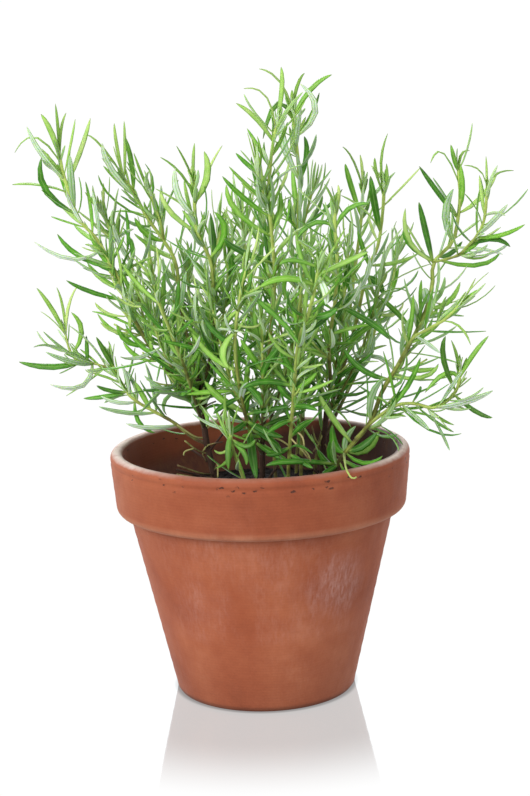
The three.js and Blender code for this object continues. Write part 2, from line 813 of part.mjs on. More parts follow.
// The leaves of a shoot by the rule: one of each pair, and both of a pair near the tip. A leaf
// isn't made where one of the outline already stands.
function ruleLeaves(shoot) {
  const marked = outlineLeaves(shoot);
  const leaves = [];
  const pairs = pairsOn(shoot);
  for (let pair = 0; pair < pairs; pair++) {
    for (const side of pair > pairs - 4 ? [0, 1] : [0]) {
      const rule = leafRule(shoot, pair, side);
      const line = leafLine(rule);
      const distance = pairDistance(shoot, pair);
      const tip = line[LEAF_STEPS].point;
      const isTaken = marked.some(
        (leaf) =>
          Math.abs(leaf.distance - distance) < LEAF_PITCH &&
          leaf.line[LEAF_STEPS].point.distanceTo(tip) < 2 * LEAF_PITCH,
      );
      if (!isTaken) leaves.push({ shoot, line, width: rule.width });
    }
  }
  return leaves;
}

// ---- the whole plant ----------------------------------------------------------------------------

const group = new THREE.Group();
group.name = "potted_rosemary";

function addMesh(name, solid, finish) {
  const mesh = new THREE.Mesh(geometryOf(solid), new THREE.MeshStandardMaterial(finish));
  mesh.name = name;
  group.add(mesh);
}

let soil = soilSolid();

// Old stems first: each is cut out of the soil with a little room around it.
const standing = [{ node: "pot", solid: pot }];
const grown = new Map();
for (const wood of WOODY_STEMS) {
  const curve = curveOf(wood.route);
  let solid = stemSolid(curve, wood.radius, WOOD_SIDES, WOOD_STEP);
  for (const twig of wood.twigs) {
    solid = solid.add(stemSolid(curveOf(twig), TWIG_RADIUS, STEM_SIDES, STEM_STEP));
  }
  const wider = stemSolid(curve, wood.radius, WOOD_SIDES, WOOD_STEP, 0, GAP + 0.05);
  soil = soil.subtract(wider);
  grown.set(wood.name, wider);
  standing.push({ node: wood.name, solid });
  addMesh(wood.name, solid, WOOD);
}

// Then the green stems. A branch belongs to the node of the shoot that it grows from.
const nodes = new Map();
SHOOTS.forEach((shoot, number) => {
  shoot.number = number + 1;
  shoot.curve = curveOf(shoot.route);
  shoot.length = shoot.curve.getLength();
  const parent = nodes.get(shoot.from);
  shoot.node = parent ? parent.name : shoot.name;
  let stem = stemSolid(shoot.curve, shoot.radius, STEM_SIDES, STEM_STEP, shoot.turn);
  if (grown.has(shoot.from)) stem = largestBody(stem.subtract(grown.get(shoot.from)));
  if (shoot.from === "potting_soil") {
    const room = GAP + 0.05;
    soil = soil.subtract(
      stemSolid(shoot.curve, shoot.radius, STEM_SIDES, STEM_STEP, shoot.turn, room),
    );
  }
  if (parent) {
    parent.solid = parent.solid.add(stem);
    nodes.set(shoot.name, parent);
  } else {
    nodes.set(shoot.name, { name: shoot.name, solid: stem });
  }
});
const greens = new Set(nodes.values());
for (const green of greens) standing.push({ node: green.name, solid: green.solid });
standing.push({ node: "potting_soil", solid: soil });

// Last the leaves. One that would cross or brush a piece of another node isn't made.
const leaves = [...SHOOTS.flatMap(outlineLeaves), ...SHOOTS.flatMap(ruleLeaves)];
for (const { shoot, line, width } of leaves) {
  const leaf = leafSolid(line, width, 0.6 * shoot.radius[1]);
  const isFree = standing.every(
    (piece) => piece.node === shoot.node || !isNear(leaf, piece.solid, GAP),
  );
  if (!isFree) continue;
  standing.push({ node: shoot.node, solid: leaf });
  const green = nodes.get(shoot.name);
  green.solid = green.solid.add(leaf);
}

addMesh("pot", pot, TERRACOTTA);
addMesh("potting_soil", soil, SOIL);
for (const green of greens) addMesh(green.name, largestBody(green.solid), LEAF_GREEN);

export default group;
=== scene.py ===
# %% [markdown]
# # A potted rosemary plant
#
# This lesson dresses a plain solid model of a potted rosemary. The solid model is the frame: it
# says where the pot, the soil and every shoot stand. Each cell makes one thing, says what it is on
# the real plant, and prints what it made. Lengths are written in millimetres, because that is how
# a pot and a leaf are measured, and they are turned to Blender's metres when a mesh is written.

# %% Load the frame
import json
import math

import bpy
import numpy as np
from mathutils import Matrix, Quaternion, Vector

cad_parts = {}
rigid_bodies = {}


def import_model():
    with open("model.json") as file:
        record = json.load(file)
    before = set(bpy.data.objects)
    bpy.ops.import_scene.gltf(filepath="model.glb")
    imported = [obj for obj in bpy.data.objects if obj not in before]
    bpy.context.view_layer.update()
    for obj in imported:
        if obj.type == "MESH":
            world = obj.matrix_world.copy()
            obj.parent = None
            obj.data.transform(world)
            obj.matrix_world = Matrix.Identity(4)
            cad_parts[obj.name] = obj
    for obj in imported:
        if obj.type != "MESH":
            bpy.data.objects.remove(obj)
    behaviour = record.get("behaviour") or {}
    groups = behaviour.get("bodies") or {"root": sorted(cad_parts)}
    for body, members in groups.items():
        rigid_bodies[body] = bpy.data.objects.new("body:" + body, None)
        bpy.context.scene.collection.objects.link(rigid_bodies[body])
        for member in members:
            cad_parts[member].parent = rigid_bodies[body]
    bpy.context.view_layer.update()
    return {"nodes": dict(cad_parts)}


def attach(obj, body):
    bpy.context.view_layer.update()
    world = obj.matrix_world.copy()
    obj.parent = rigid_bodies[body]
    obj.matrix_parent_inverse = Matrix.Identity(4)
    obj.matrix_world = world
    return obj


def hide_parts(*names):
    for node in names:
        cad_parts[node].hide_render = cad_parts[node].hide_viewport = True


for startup_object in list(bpy.data.objects):
    bpy.data.objects.remove(startup_object)
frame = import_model()
MM = 0.001
print("nodes in the frame:", len(frame["nodes"]))

# %% [markdown]
# ## Camera
#
# The photograph looks slightly down on the pot from its front. The place of the camera was worked
# out from the pot: its lip and its foot are circles, and how flat they look gives the height and
# the distance. The picture leans by a degree and a half, so the camera is rolled by that much.

# %% Camera
CAMERA_PLACE = (3.39, -939.1, 341.0)
CAMERA_TILT_DOWN = 11.01
CAMERA_ROLL = 1.56
CAMERA_LENS = 81.05

camera = bpy.data.objects.new("camera", bpy.data.cameras.new("camera"))
bpy.context.scene.collection.objects.link(camera)
camera.data.lens = CAMERA_LENS
camera.data.sensor_width = 36
camera.location = Vector(CAMERA_PLACE) * MM
tilt = Quaternion((1, 0, 0), math.radians(90 - CAMERA_TILT_DOWN))
camera.rotation_mode = "QUATERNION"
camera.rotation_quaternion = tilt @ Quaternion((0, 0, 1), math.radians(-CAMERA_ROLL))
bpy.context.scene.camera = camera
print("camera at", CAMERA_PLACE, "lens", CAMERA_LENS)

# %% [markdown]
# ## Colours and nodes
#
# Colours are written as the hex values that a colour picker shows, and one function turns them
# to the linear values that Blender mixes light with. A second one fills a node's sockets, and a
# third adds a shader node and fills it, so that a material reads like a recipe.


# %% Helpers for colours and nodes
def linear(hex_colour):
    """A colour picker's hex value as linear red, green and blue, with an alpha of 1."""
    values = [int(hex_colour[i : i + 2], 16) / 255 for i in (1, 3, 5)]
    return [v / 12.92 if v <= 0.04045 else ((v + 0.055) / 1.055) ** 2.4 for v in values] + [1.0]


def plug(tree, node, *values, **named):
    """Fills a node's sockets, in order or by name, with an underscore for each space. A value is
    a number, a vector, a hex colour, an output, or a node, which stands for its first output."""
    filled = list(zip([socket for socket in node.inputs if socket.enabled], values))
    filled += [(node.inputs[name.replace("_", " ")], value) for name, value in named.items()]
    for socket, value in filled:
        if isinstance(value, bpy.types.Node):
            value = next(output for output in value.outputs if output.enabled)
        if isinstance(value, bpy.types.NodeSocket):
            tree.links.new(value, socket)
        else:
            socket.default_value = linear(value) if isinstance(value, str) else value


def add_node(tree, kind, *values, stops=(), **named):
    """Adds a shader node. A name with a small first letter is a setting, and one with a capital
    is a socket. stops gives a colour ramp its places, with hex colours or grey values."""
    node = tree.nodes.new("ShaderNode" + kind)
    for name in [name for name in named if name[0].islower()]:
        setattr(node, name, named.pop(name))
    plug(tree, node, *values, **named)
    for i, (place, colour) in enumerate(stops):
        stop = node.color_ramp.elements[i] if i < 2 else node.color_ramp.elements.new(place)
        stop.position = place
        stop.color = linear(colour) if isinstance(colour, str) else (colour, colour, colour, 1)
    return node


def new_material(name, **surface):
    """An empty material, its nodes and its Principled surface. surface holds the numbers that
    are the same all over."""
    material = bpy.data.materials.new(name)
    material.use_nodes = True
    shader = material.node_tree.nodes["Principled BSDF"]
    plug(material.node_tree, shader, **surface)
    return material, material.node_tree, shader


def repeats(size):
    """A pattern's scale, from the size in millimetres of one lump or cell."""
    return 1 / (size * MM)


COLOURS = dict(data_type="RGBA")
SHADES = dict(data_type="RGBA", blend_type="MULTIPLY")
TIMES = dict(operation="MULTIPLY")
TIMES_PLUS = dict(operation="MULTIPLY_ADD")
SMOOTH = dict(interpolation_type="SMOOTHSTEP")
print("mid grey in linear light:", [round(v, 3) for v in linear("#808080")])

# %% [markdown]
# ## Studio
#
# The plant stands in a white room, so the whole background burns out to white. A large soft light
# stands to the left of the camera, which is why the pot's left side is the pale one. A white room
# alone would light the plant evenly, and no leaf would have a shaded side. So the room is white to
# the eye, brighter in a shiny surface, and only dim as a lamp.

# %% White room and soft lights
ROOM_WHITE = 1.02
ROOM_LIGHT = 0.4
ROOM_GLARE = 2.2
LAMP_SIZE = 900
SOFT_LIGHTS = [
    # name, place, aimed at, power in watts
    ("key light", (-750, -1050, 720), (0, 0, 150), 20),
    ("fill light", (1100, -700, 500), (0, 0, 150), 3),
    ("back light", (-300, 1100, 1000), (0, 0, 220), 12),
]

scene = bpy.context.scene
scene.view_settings.view_transform = "Standard"
world = bpy.data.worlds.new("white room")
scene.world = world
world.use_nodes = True
tree = world.node_tree
path = add_node(tree, "LightPath")
seen = add_node(tree, "Mix", path.outputs["Is Camera Ray"], ROOM_LIGHT, ROOM_WHITE)
mirrored = add_node(tree, "Mix", path.outputs["Is Glossy Ray"], seen, ROOM_GLARE)
plug(tree, tree.nodes["Background"], Color="#ffffff", Strength=mirrored)
for name, place, aim, power in SOFT_LIGHTS:
    lamp = bpy.data.objects.new(name, bpy.data.lights.new(name, "AREA"))
    scene.collection.objects.link(lamp)
    lamp.data.size = LAMP_SIZE * MM
    lamp.data.energy = power
    lamp.location = Vector(place) * MM
    lamp.rotation_euler = (Vector(aim) - Vector(place)).to_track_quat("-Z", "Y").to_euler()
print("lights:", [light[0] for light in SOFT_LIGHTS])

# %% [markdown]
# ## White acrylic floor
#
# The floor is a sheet of glossy white acrylic. The pot's mirror image in it fades downwards, and
# close round the foot a darker ring is painted into the sheet's glow as the pot's shadow. A white
# glossy plane would show a shadow and an edge against the white room. So this one glows as white as
# the room, and is a mirror only near the pot.

# %% Acrylic floor
FLOOR_SIZE, FLOOR_BACK = 8, 2  # metres
MIRROR_FADE = (88, 165)
# where the painted shadow round the pot's foot begins and ends, in mm from the axis
FOOT_SHADE = (48.4, 51.5)
FOOT_SHADE_LIGHT, SHEET_LIGHT = 0.3, 0.56
SHEET_WHITE = (1, 0.99, 0.985, 1)
MIRROR_TINT = (0.21, 0.22, 0.225, 1)

bpy.ops.object.select_all(action="DESELECT")
bpy.ops.mesh.primitive_plane_add(size=FLOOR_SIZE, location=(0, FLOOR_BACK, 0))
floor = bpy.context.object
floor.name = "acrylic_floor"
bpy.ops.object.transform_apply(location=True)

acrylic = bpy.data.materials.new("white acrylic sheet")
acrylic.use_nodes = True
tree = acrylic.node_tree
tree.nodes.remove(tree.nodes["Principled BSDF"])
place = add_node(tree, "TexCoord")
reach = add_node(tree, "VectorMath", place.outputs["Object"], operation="LENGTH")
fade = add_node(tree, "MapRange", reach, *(v * MM for v in MIRROR_FADE), 1, 0, **SMOOTH)
# painted shadow: the floor's glow is dimmer in a thin ring round the pot's foot
painted_foot_shadow = add_node(
    tree, "MapRange", reach, *(v * MM for v in FOOT_SHADE), FOOT_SHADE_LIGHT, SHEET_LIGHT, **SMOOTH
)
path = add_node(tree, "LightPath")
dim = add_node(tree, "MapRange", path.outputs["Is Diffuse Ray"], 0, 1, ROOM_WHITE, ROOM_LIGHT)
strength = add_node(tree, "Math", painted_foot_shadow, dim, **TIMES)
sheet = add_node(tree, "Emission", SHEET_WHITE, strength)
gloss = add_node(tree, "BsdfGlossy", MIRROR_TINT, 0.05)
glossy_sheet = add_node(tree, "AddShader", sheet, gloss)
burnt_out = add_node(tree, "Emission", Strength=dim)
surface = add_node(tree, "MixShader", fade, burnt_out, glossy_sheet)
plug(tree, tree.nodes["Material Output"], Surface=surface)
floor.data.materials.append(acrylic)
print("floor:", FLOOR_SIZE, "m wide")

# %% [markdown]
# ## Terracotta pot
#
# A clay pot is turned on a wheel: one profile goes once round an axis. Blender's Spin does the
# same. The profile starts as a short edge under the foot, and its end is extruded from point to
# point: up the outside, round the band and the lip, down the inside, and back to the drain hole.
# Then the wheel turns. A bevel on every edge could round the corners too, but points on small arcs
# keep the band's true size.

# %% Sizes of the pot
POT_HEIGHT = 132.5
RIM_RADIUS = 80
BASE_RADIUS = 48.5
BODY_RADIUS_UNDER_BAND = 70.8
BAND_LOWER_RADIUS = 77.8
BAND_FOOT = 101.6
BAND_ROUNDING = 4
LIP_ROUNDING = 3
INNER_LIP_ROUNDING = 2.2
LIP_WIDTH = 6.4
WALL = 6
POT_FLOOR = 9
DRAIN_RADIUS = 9
INNER_RIM_RADIUS = RIM_RADIUS - LIP_WIDTH
INNER_WALL = [
    (INNER_RIM_RADIUS, POT_HEIGHT - LIP_ROUNDING),
    (INNER_RIM_RADIUS - 1.6, BAND_FOOT + 13),
    (BODY_RADIUS_UNDER_BAND - WALL + 0.8, BAND_FOOT - 1),
    (BASE_RADIUS - WALL, POT_FLOOR),
]
print("pot:", 2 * RIM_RADIUS, "mm across the rim and", POT_HEIGHT, "mm high")


# %% The pot's profile
def arc(radius, height, size, start, end, steps):
    """Points on a round corner of the profile, from one angle to another."""
    angles = [math.radians(start + (end - start) * i / steps) for i in range(steps + 1)]
    return [(radius + size * math.cos(a), height + size * math.sin(a)) for a in angles]


def between(start, end, steps):
    """Points on a straight run of the profile, without its two ends."""
    shares = [i / steps for i in range(1, steps)]
    over, up = end[0] - start[0], end[1] - start[1]
    return [(start[0] + over * s, start[1] + up * s) for s in shares]


body_foot = (BASE_RADIUS, 1.5)
body_top = (BODY_RADIUS_UNDER_BAND, BAND_FOOT - 3)
band_corner = BAND_FOOT + BAND_ROUNDING / 2
lip_corner = POT_HEIGHT - LIP_ROUNDING
bead = (RIM_RADIUS - 0.1, POT_HEIGHT - 6.5)
bead_groove = [(-0.35, 0.9), (-0.3, 1.7), (0.05, 2.6)]  # a shallow groove above the bead

pot_profile = [(DRAIN_RADIUS, 0), (BASE_RADIUS - 6, 0), (BASE_RADIUS - 1, 0), body_foot]
pot_profile += between(body_foot, body_top, 30) + [body_top]
pot_profile += arc(BAND_LOWER_RADIUS - BAND_ROUNDING, band_corner, BAND_ROUNDING, -85, 0, 7)
pot_profile += between((BAND_LOWER_RADIUS, band_corner), bead, 9)
pot_profile += [bead] + [(bead[0] + dx, bead[1] + dz) for dx, dz in bead_groove]
pot_profile += arc(RIM_RADIUS - LIP_ROUNDING, lip_corner, LIP_ROUNDING, 0, 90, 7)
inner_corner = (INNER_RIM_RADIUS + INNER_LIP_ROUNDING, POT_HEIGHT - INNER_LIP_ROUNDING)
pot_profile += arc(*inner_corner, INNER_LIP_ROUNDING, 96, 176, 6)
for upper, lower in zip(INNER_WALL[:2], INNER_WALL[1:3]):
    pot_profile += between(upper, lower, 5) + [lower]
pot_profile += between(INNER_WALL[2], INNER_WALL[3], 14)
pot_profile += [(BASE_RADIUS - WALL + 1, POT_FLOOR + 2), (BASE_RADIUS - WALL - 2, POT_FLOOR)]
pot_profile += [(DRAIN_RADIUS + 0.6, POT_FLOOR), (DRAIN_RADIUS, POT_FLOOR - 1)]
print("points on the pot's profile:", len(pot_profile))


# %% Turn the pot on the wheel
def turned(name, profile, steps, closed):
    """A profile of radius and height, extruded point by point and spun round the upright axis."""
    bpy.ops.object.select_all(action="DESELECT")
    bpy.ops.mesh.primitive_plane_add(size=MM)
    piece = bpy.context.object
    piece.name = name
    bpy.ops.object.mode_set(mode="EDIT")
    bpy.ops.mesh.merge(type="CENTER")
    radius, height = profile[0]
    bpy.ops.transform.translate(value=(radius * MM, 0, height * MM))
    for (r0, z0), (r1, z1) in zip(profile, profile[1:]):
        step = ((r1 - r0) * MM, 0, (z1 - z0) * MM)
        bpy.ops.mesh.extrude_region_move(TRANSFORM_OT_translate={"value": step})
    bpy.ops.mesh.select_all(action="SELECT")
    if closed:
        bpy.ops.mesh.edge_face_add()
        bpy.ops.mesh.delete(type="ONLY_FACE")
        bpy.ops.mesh.select_all(action="SELECT")
    bpy.ops.mesh.spin(steps=steps, angle=2 * math.pi, center=(0, 0, 0), axis=(0, 0, 1))
    bpy.ops.mesh.select_all(action="SELECT")
    bpy.ops.mesh.remove_doubles(threshold=0.01 * MM)
    bpy.ops.mesh.normals_make_consistent(inside=False)
    bpy.ops.object.mode_set(mode="OBJECT")
    return piece


pot = turned("terracotta_pot", pot_profile, 160, closed=True)
print("pot faces:", len(pot.data.polygons), "height in mm:", pot.dimensions.z / MM)

# %% [markdown]
# No pot of fired clay is perfectly even. The wheel leaves shallow rings, and the clay slumps a
# little before it is fired. Every point of the mesh is moved in or out by a few tenths of a
# millimetre, with waves that are long around the pot and short up it. Two small functions read a
# mesh's points as rows of numbers and write them back, which is quicker than one point at a time.


# %% Throwing rings and slumped clay
def write_points(piece, points):
    """Writes points in metres back to a mesh."""
    piece.data.vertices.foreach_set("co", points.astype(np.float32).ravel())
    piece.data.update()


def read_points(piece):
    """A mesh's points in metres, one row each."""
    points = np.empty(len(piece.data.vertices) * 3, np.float32)
    piece.data.vertices.foreach_get("co", points)
    return points.reshape(-1, 3).astype(float)


BODY_RING_DEPTH, BAND_RING_DEPTH = 0.1, 0.07
OVAL_SLUMP, WAVY_SLUMP = 0.22, 0.12
SHARP_EDGE = 50  # degrees

points = read_points(pot)
around = np.arctan2(points[:, 1], points[:, 0])
height = points[:, 2] / MM
radius = np.hypot(points[:, 0], points[:, 1]) / MM
on_body, on_band = height < BAND_FOOT - 4, height > BAND_FOOT + 4
rings = BODY_RING_DEPTH * on_body * np.sin(height * 1.15 + 0.9 * np.sin(2 * around))
rings += BAND_RING_DEPTH * on_band * np.sin(height * 0.9 + 1.1 * np.sin(around))
slump = OVAL_SLUMP * np.sin(2 * around + 0.6) + WAVY_SLUMP * np.sin(5 * around + height * 0.03)
moved = rings + slump * height / POT_HEIGHT
grow = 1 + np.where(radius > DRAIN_RADIUS + 2, moved / radius, 0)
points[:, 0] *= grow
points[:, 1] *= grow
write_points(pot, points)
bpy.ops.object.select_all(action="DESELECT")
pot.select_set(True)
bpy.context.view_layer.objects.active = pot
bpy.ops.object.shade_smooth_by_angle(angle=math.radians(SHARP_EDGE))
print("pot size in mm:", [round(v / MM, 1) for v in pot.dimensions])

# %% [markdown]
# ## Potting soil
#
# The soil is black peat and fine bark, and it sinks to a finger's width below the rim. It fills
# the pot down to the drain hole, so it is turned like the pot, from a second profile. Its surface
# then gets clods and hollows from a few sums of waves. A displace modifier would do that too, but
# the same sums also tell where a crumb meets the soil.

# %% Soil body
SOIL_LEVEL = 107.5
SOIL_GAP = 0.3  # between the soil and the clay under it
SOIL_RINGS = 60
WALL_HEIGHTS = (14, 40, 70, BAND_FOOT - 1, 104)  # where the soil's side has a point
SOIL_RADIUS = 69
CLOD_HEIGHT = 0.9
SUNK_AT_WALL = 4.5
LEFT_SLOPE, SLOPE_START = 0.035, 12  # the left side has sunk a little more


def inner_radius(z):
    """How wide the inside of the pot is at a height."""
    for (upper_radius, upper), (lower_radius, lower) in zip(INNER_WALL, INNER_WALL[1:]):
        if z >= lower:
            return lower_radius + (upper_radius - lower_radius) * (z - lower) / (upper - lower)
    return INNER_WALL[-1][0]


def soil_height(x, y):
    """The soil's height in millimetres: clods and hollows, and lower by the wall."""
    wide = np.sin(x * 0.11 + 1.3) * np.cos(y * 0.13 - 0.4)
    fine = np.sin(x * 0.37 - y * 0.21) * np.cos(y * 0.41 + x * 0.09)
    sunk = SUNK_AT_WALL * (np.hypot(x, y) / SOIL_RADIUS) ** 3
    sunk += LEFT_SLOPE * np.maximum(0, -x - SLOPE_START)
    return SOIL_LEVEL + CLOD_HEIGHT * (wide + 0.6 * fine) - sunk


soil_edge = inner_radius(SOIL_LEVEL) - 0.5
soil_profile = [(0.4, POT_FLOOR + SOIL_GAP), (BASE_RADIUS - WALL - 3, POT_FLOOR + SOIL_GAP)]
soil_profile += [(inner_radius(z) - 0.6, z) for z in WALL_HEIGHTS]
soil_profile += [(soil_edge * (1 - i / SOIL_RINGS), SOIL_LEVEL) for i in range(SOIL_RINGS)]
soil = turned("potting_soil_dressed", soil_profile + [(0.4, SOIL_LEVEL)], 150, closed=False)
bpy.ops.object.mode_set(mode="EDIT")
bpy.ops.mesh.select_all(action="DESELECT")
bpy.ops.mesh.select_non_manifold()
bpy.ops.mesh.edge_face_add()
bpy.ops.object.mode_set(mode="OBJECT")

points = read_points(soil)
x, y, z = points.T / MM
on_top = z > SOIL_LEVEL - 0.01
grain = 0.5 * np.sin(x * 1.9 + 2.1 * np.sin(y * 1.3)) * np.sin(y * 2.2 + 1.7 * np.sin(x * 1.1))
grain += 0.35 * np.sin(x * 4.1 + y * 2.7) * np.sin(y * 3.7 - x * 1.9)
points[:, 2] = np.where(on_top, soil_height(x, y) + grain, z) * MM
write_points(soil, points)
print("soil faces:", len(soil.data.polygons))

# %% [markdown]
# Loose crumbs of peat and bark lie on the soil. A crumb is a small icosphere, made flat in edit
# mode. Every crumb is a copy with its own mesh, whose points are pushed out of shape, turned and
# placed. A particle system could scatter them, but copies are easier to count and to export.


# %% Copies with their own mesh
def copy_of(pattern, points, name):
    """A copy of a modelled pattern with its own mesh, whose points are moved to new places."""
    twin = pattern.copy()
    twin.data = pattern.data.copy()
    twin.name = name
    scene.collection.objects.link(twin)
    write_points(twin, points)
    return twin


def joined(name, parts):
    """Joins pieces into one object of a given name."""
    bpy.ops.object.select_all(action="DESELECT")
    for part in parts:
        part.select_set(True)
    bpy.context.view_layer.objects.active = parts[0]
    bpy.ops.object.join()
    parts[0].name = name
    return parts[0]


def turn_matrix(a, b, c):
    """A turn about X, then Y, then Z, as a 3 by 3 table."""
    about_x = np.array([[1, 0, 0], [0, math.cos(a), -math.sin(a)], [0, math.sin(a), math.cos(a)]])
    about_y = np.array([[math.cos(b), 0, math.sin(b)], [0, 1, 0], [-math.sin(b), 0, math.cos(b)]])
    about_z = np.array([[math.cos(c), -math.sin(c), 0], [math.sin(c), math.cos(c), 0], [0, 0, 1]])
    return about_z @ about_y @ about_x


print("a quarter turn about Z takes X to", (turn_matrix(0, 0, math.pi / 2) @ [1, 0, 0]).round(3))

# %% Crumbs of peat and bark
CRUMBS = 520
CRUMB_SHAPE = (1.0, 0.7, 0.45)
SMALLEST_CRUMB, CRUMB_SPREAD = 0.7, 1.9
CRUMB_ROUGHNESS = 0.35
CLEAR_OF_WALL = 2.5
rng = np.random.default_rng(7)
bpy.ops.object.select_all(action="DESELECT")
bpy.ops.mesh.primitive_ico_sphere_add(subdivisions=1, radius=1)
bpy.ops.object.mode_set(mode="EDIT")
bpy.ops.mesh.select_all(action="SELECT")
bpy.ops.transform.resize(value=CRUMB_SHAPE)
bpy.ops.object.mode_set(mode="OBJECT")
crumb = bpy.context.object
crumb_points = read_points(crumb)

crumbs = []
for i in range(CRUMBS):
    reach = (soil_edge - CLEAR_OF_WALL) * math.sqrt(rng.random())
    angle = rng.random() * 2 * math.pi
    size = SMALLEST_CRUMB + CRUMB_SPREAD * rng.random() ** 3
    x, y = reach * math.cos(angle), reach * math.sin(angle)
    turn = turn_matrix(rng.normal() * 0.5, rng.normal() * 0.5, rng.random() * 6.3)
    uneven = crumb_points * (1 + CRUMB_ROUGHNESS * rng.normal(size=crumb_points.shape))
    place = np.array([x, y, float(soil_height(x, y)) + size * 0.25])
    crumbs.append(copy_of(crumb, (uneven * size @ turn.T + place) * MM, "crumb"))
bpy.data.objects.remove(crumb)
soil_crumbs = joined("soil_crumbs", crumbs)
print("crumbs:", CRUMBS, "faces:", len(soil_crumbs.data.polygons))

# %% [markdown]
# ## The plant's stems as lines
#
# A stem is described by its route: a few points from its foot to its growing tip. A Catmull-Rom
# curve runs smoothly through them. To walk along it at an even pace, its length is measured in
# two hundred short steps. Blender's own curves could carry the stems, but the leaves need a place
# and a direction at any length, and a few lines of arithmetic give both.

# %% Curves through points
CURVE_STEPS = 200


def curve_point(route, share):
    """A point on the Catmull-Rom curve through a route. share runs from 0 to 1 over its spans."""
    spans = len(route) - 1
    at = min(max(share, 0.0), 1.0) * spans
    i = min(int(at), spans - 1)
    t = at - i
    p1, p2 = route[i], route[i + 1]
    p0 = route[i - 1] if i > 0 else 2 * p1 - p2
    p3 = route[i + 2] if i + 2 <= spans else 2 * p2 - p1
    leave, arrive = (p2 - p0) / 2, (p3 - p1) / 2
    cubic = 2 * p1 - 2 * p2 + leave + arrive
    square = 3 * (p2 - p1) - 2 * leave - arrive
    return ((cubic * t + square) * t + leave) * t + p1


def unit(vector):
    """A direction: the vector made one long."""
    return vector / np.linalg.norm(vector)


class StemLine:
    """A stem's middle line, walked by its length in millimetres."""

    def __init__(self, route):
        self.route = np.array(route, float)
        walk = [curve_point(self.route, i / CURVE_STEPS) for i in range(CURVE_STEPS + 1)]
        steps = np.linalg.norm(np.diff(walk, axis=0), axis=1)
        self.walked = np.concatenate([[0], np.cumsum(steps)])
        self.length = self.walked[-1]

    def share(self, distance):
        """How far along the curve's spans a distance lies."""
        return np.interp(distance, self.walked, np.arange(CURVE_STEPS + 1) / CURVE_STEPS)

    def point(self, distance):
        """The place at a distance from the foot."""
        return curve_point(self.route, self.share(distance))

    def along(self, distance):
        """The direction of growth at a distance from the foot."""
        share = self.share(distance)
        ahead = curve_point(self.route, min(1, share + 1e-4))
        return unit(ahead - curve_point(self.route, max(0, share - 1e-4)))


print("a straight stem of 10 mm measures", StemLine([(0, 0, 0), (0, 0, 5), (0, 0, 10)]).length)


# %% Directions round a stem, and a scatter that repeats
def across(along):
    """Two directions square to a stem, which turn smoothly along it."""
    first = unit(np.array([0, 1, 0]) - along[1] * along)
    return first, np.cross(along, first)


def turned_about(vector, axis, degrees):
    """A vector turned about an axis."""
    a = math.radians(degrees)
    aside = np.cross(axis, vector) * math.sin(a)
    return vector * math.cos(a) + aside + axis * axis.dot(vector) * (1 - math.cos(a))


def scatter(stem, leaf, use):
    """A number from -1 to 1 that is the same on every run for the same stem, leaf and use. The
    number of the use only keeps one draw for a leaf apart from the next."""
    wave = math.sin(stem * 127.1 + leaf * 311.7 + use * 74.7) * 43758.5453
    return 2 * (wave - math.floor(wave)) - 1


print("three draws for one leaf:", [round(scatter(1, 1, use), 2) for use in (1, 2, 3)])

# %% [markdown]
# ## Tables of stems and leaves
#
# The plant has three old stems of brown wood, with dead twigs. Green shoots grow from them or
# straight from the soil. For each shoot the table gives its route, its radius at both ends, the
# length that is bare of leaves, and the turn of its first leaf. A sparse shoot has lost a share of
# its leaves, and tip_leaves says how many small leaves stand round its bud, if not six. The leaves
# that draw the plant's outline are listed one by one: how far along the shoot, a point halfway
# along the leaf, its tip, and its width. UNDERSIDE marks one that shows its pale back.

# %% Old stems
UNDERSIDE, DEEP, BRIGHT = "underside", "deep green", "bright green"
SOIL_FOOT = 73.5  # the height at which a stem begins, deep in the soil
WOODY_STEMS = [
    dict(
        name="woody_stem_left", radius=(2.1, 1.5),
        route=[
            (-25, 6, SOIL_FOOT), (-25, 6, 110), (-29, 6, 135), (-30, 5, 152), (-32, 5, 169),
        ],
        twigs=[
            [(-25, 6, 113), (-45, -3, 121)], [(-28, 6, 128), (-20, 0, 139)],
            [(-27, 6, 123), (-38, 15, 128)],
        ],
    ),
    dict(
        name="woody_stem_centre", radius=(1.9, 1.5),
        route=[
            (0, -20, SOIL_FOOT), (0, -20, 110), (1, -19, 124), (1, -20, 138),
        ],
        twigs=[
            [(0, -20, 114), (9, -16, 124)],
        ],
    ),
    dict(
        name="woody_stem_right", radius=(1.9, 1.4),
        route=[
            (33, 3, SOIL_FOOT), (33, 3, 110), (34, 1, 130), (36, 0, 150),
        ],
        twigs=[
            [(33, 3, 113), (20, 6, 126)], [(34, 2, 122), (43, -4, 133)],
        ],
    ),
]
print("old stems:", len(WOODY_STEMS))

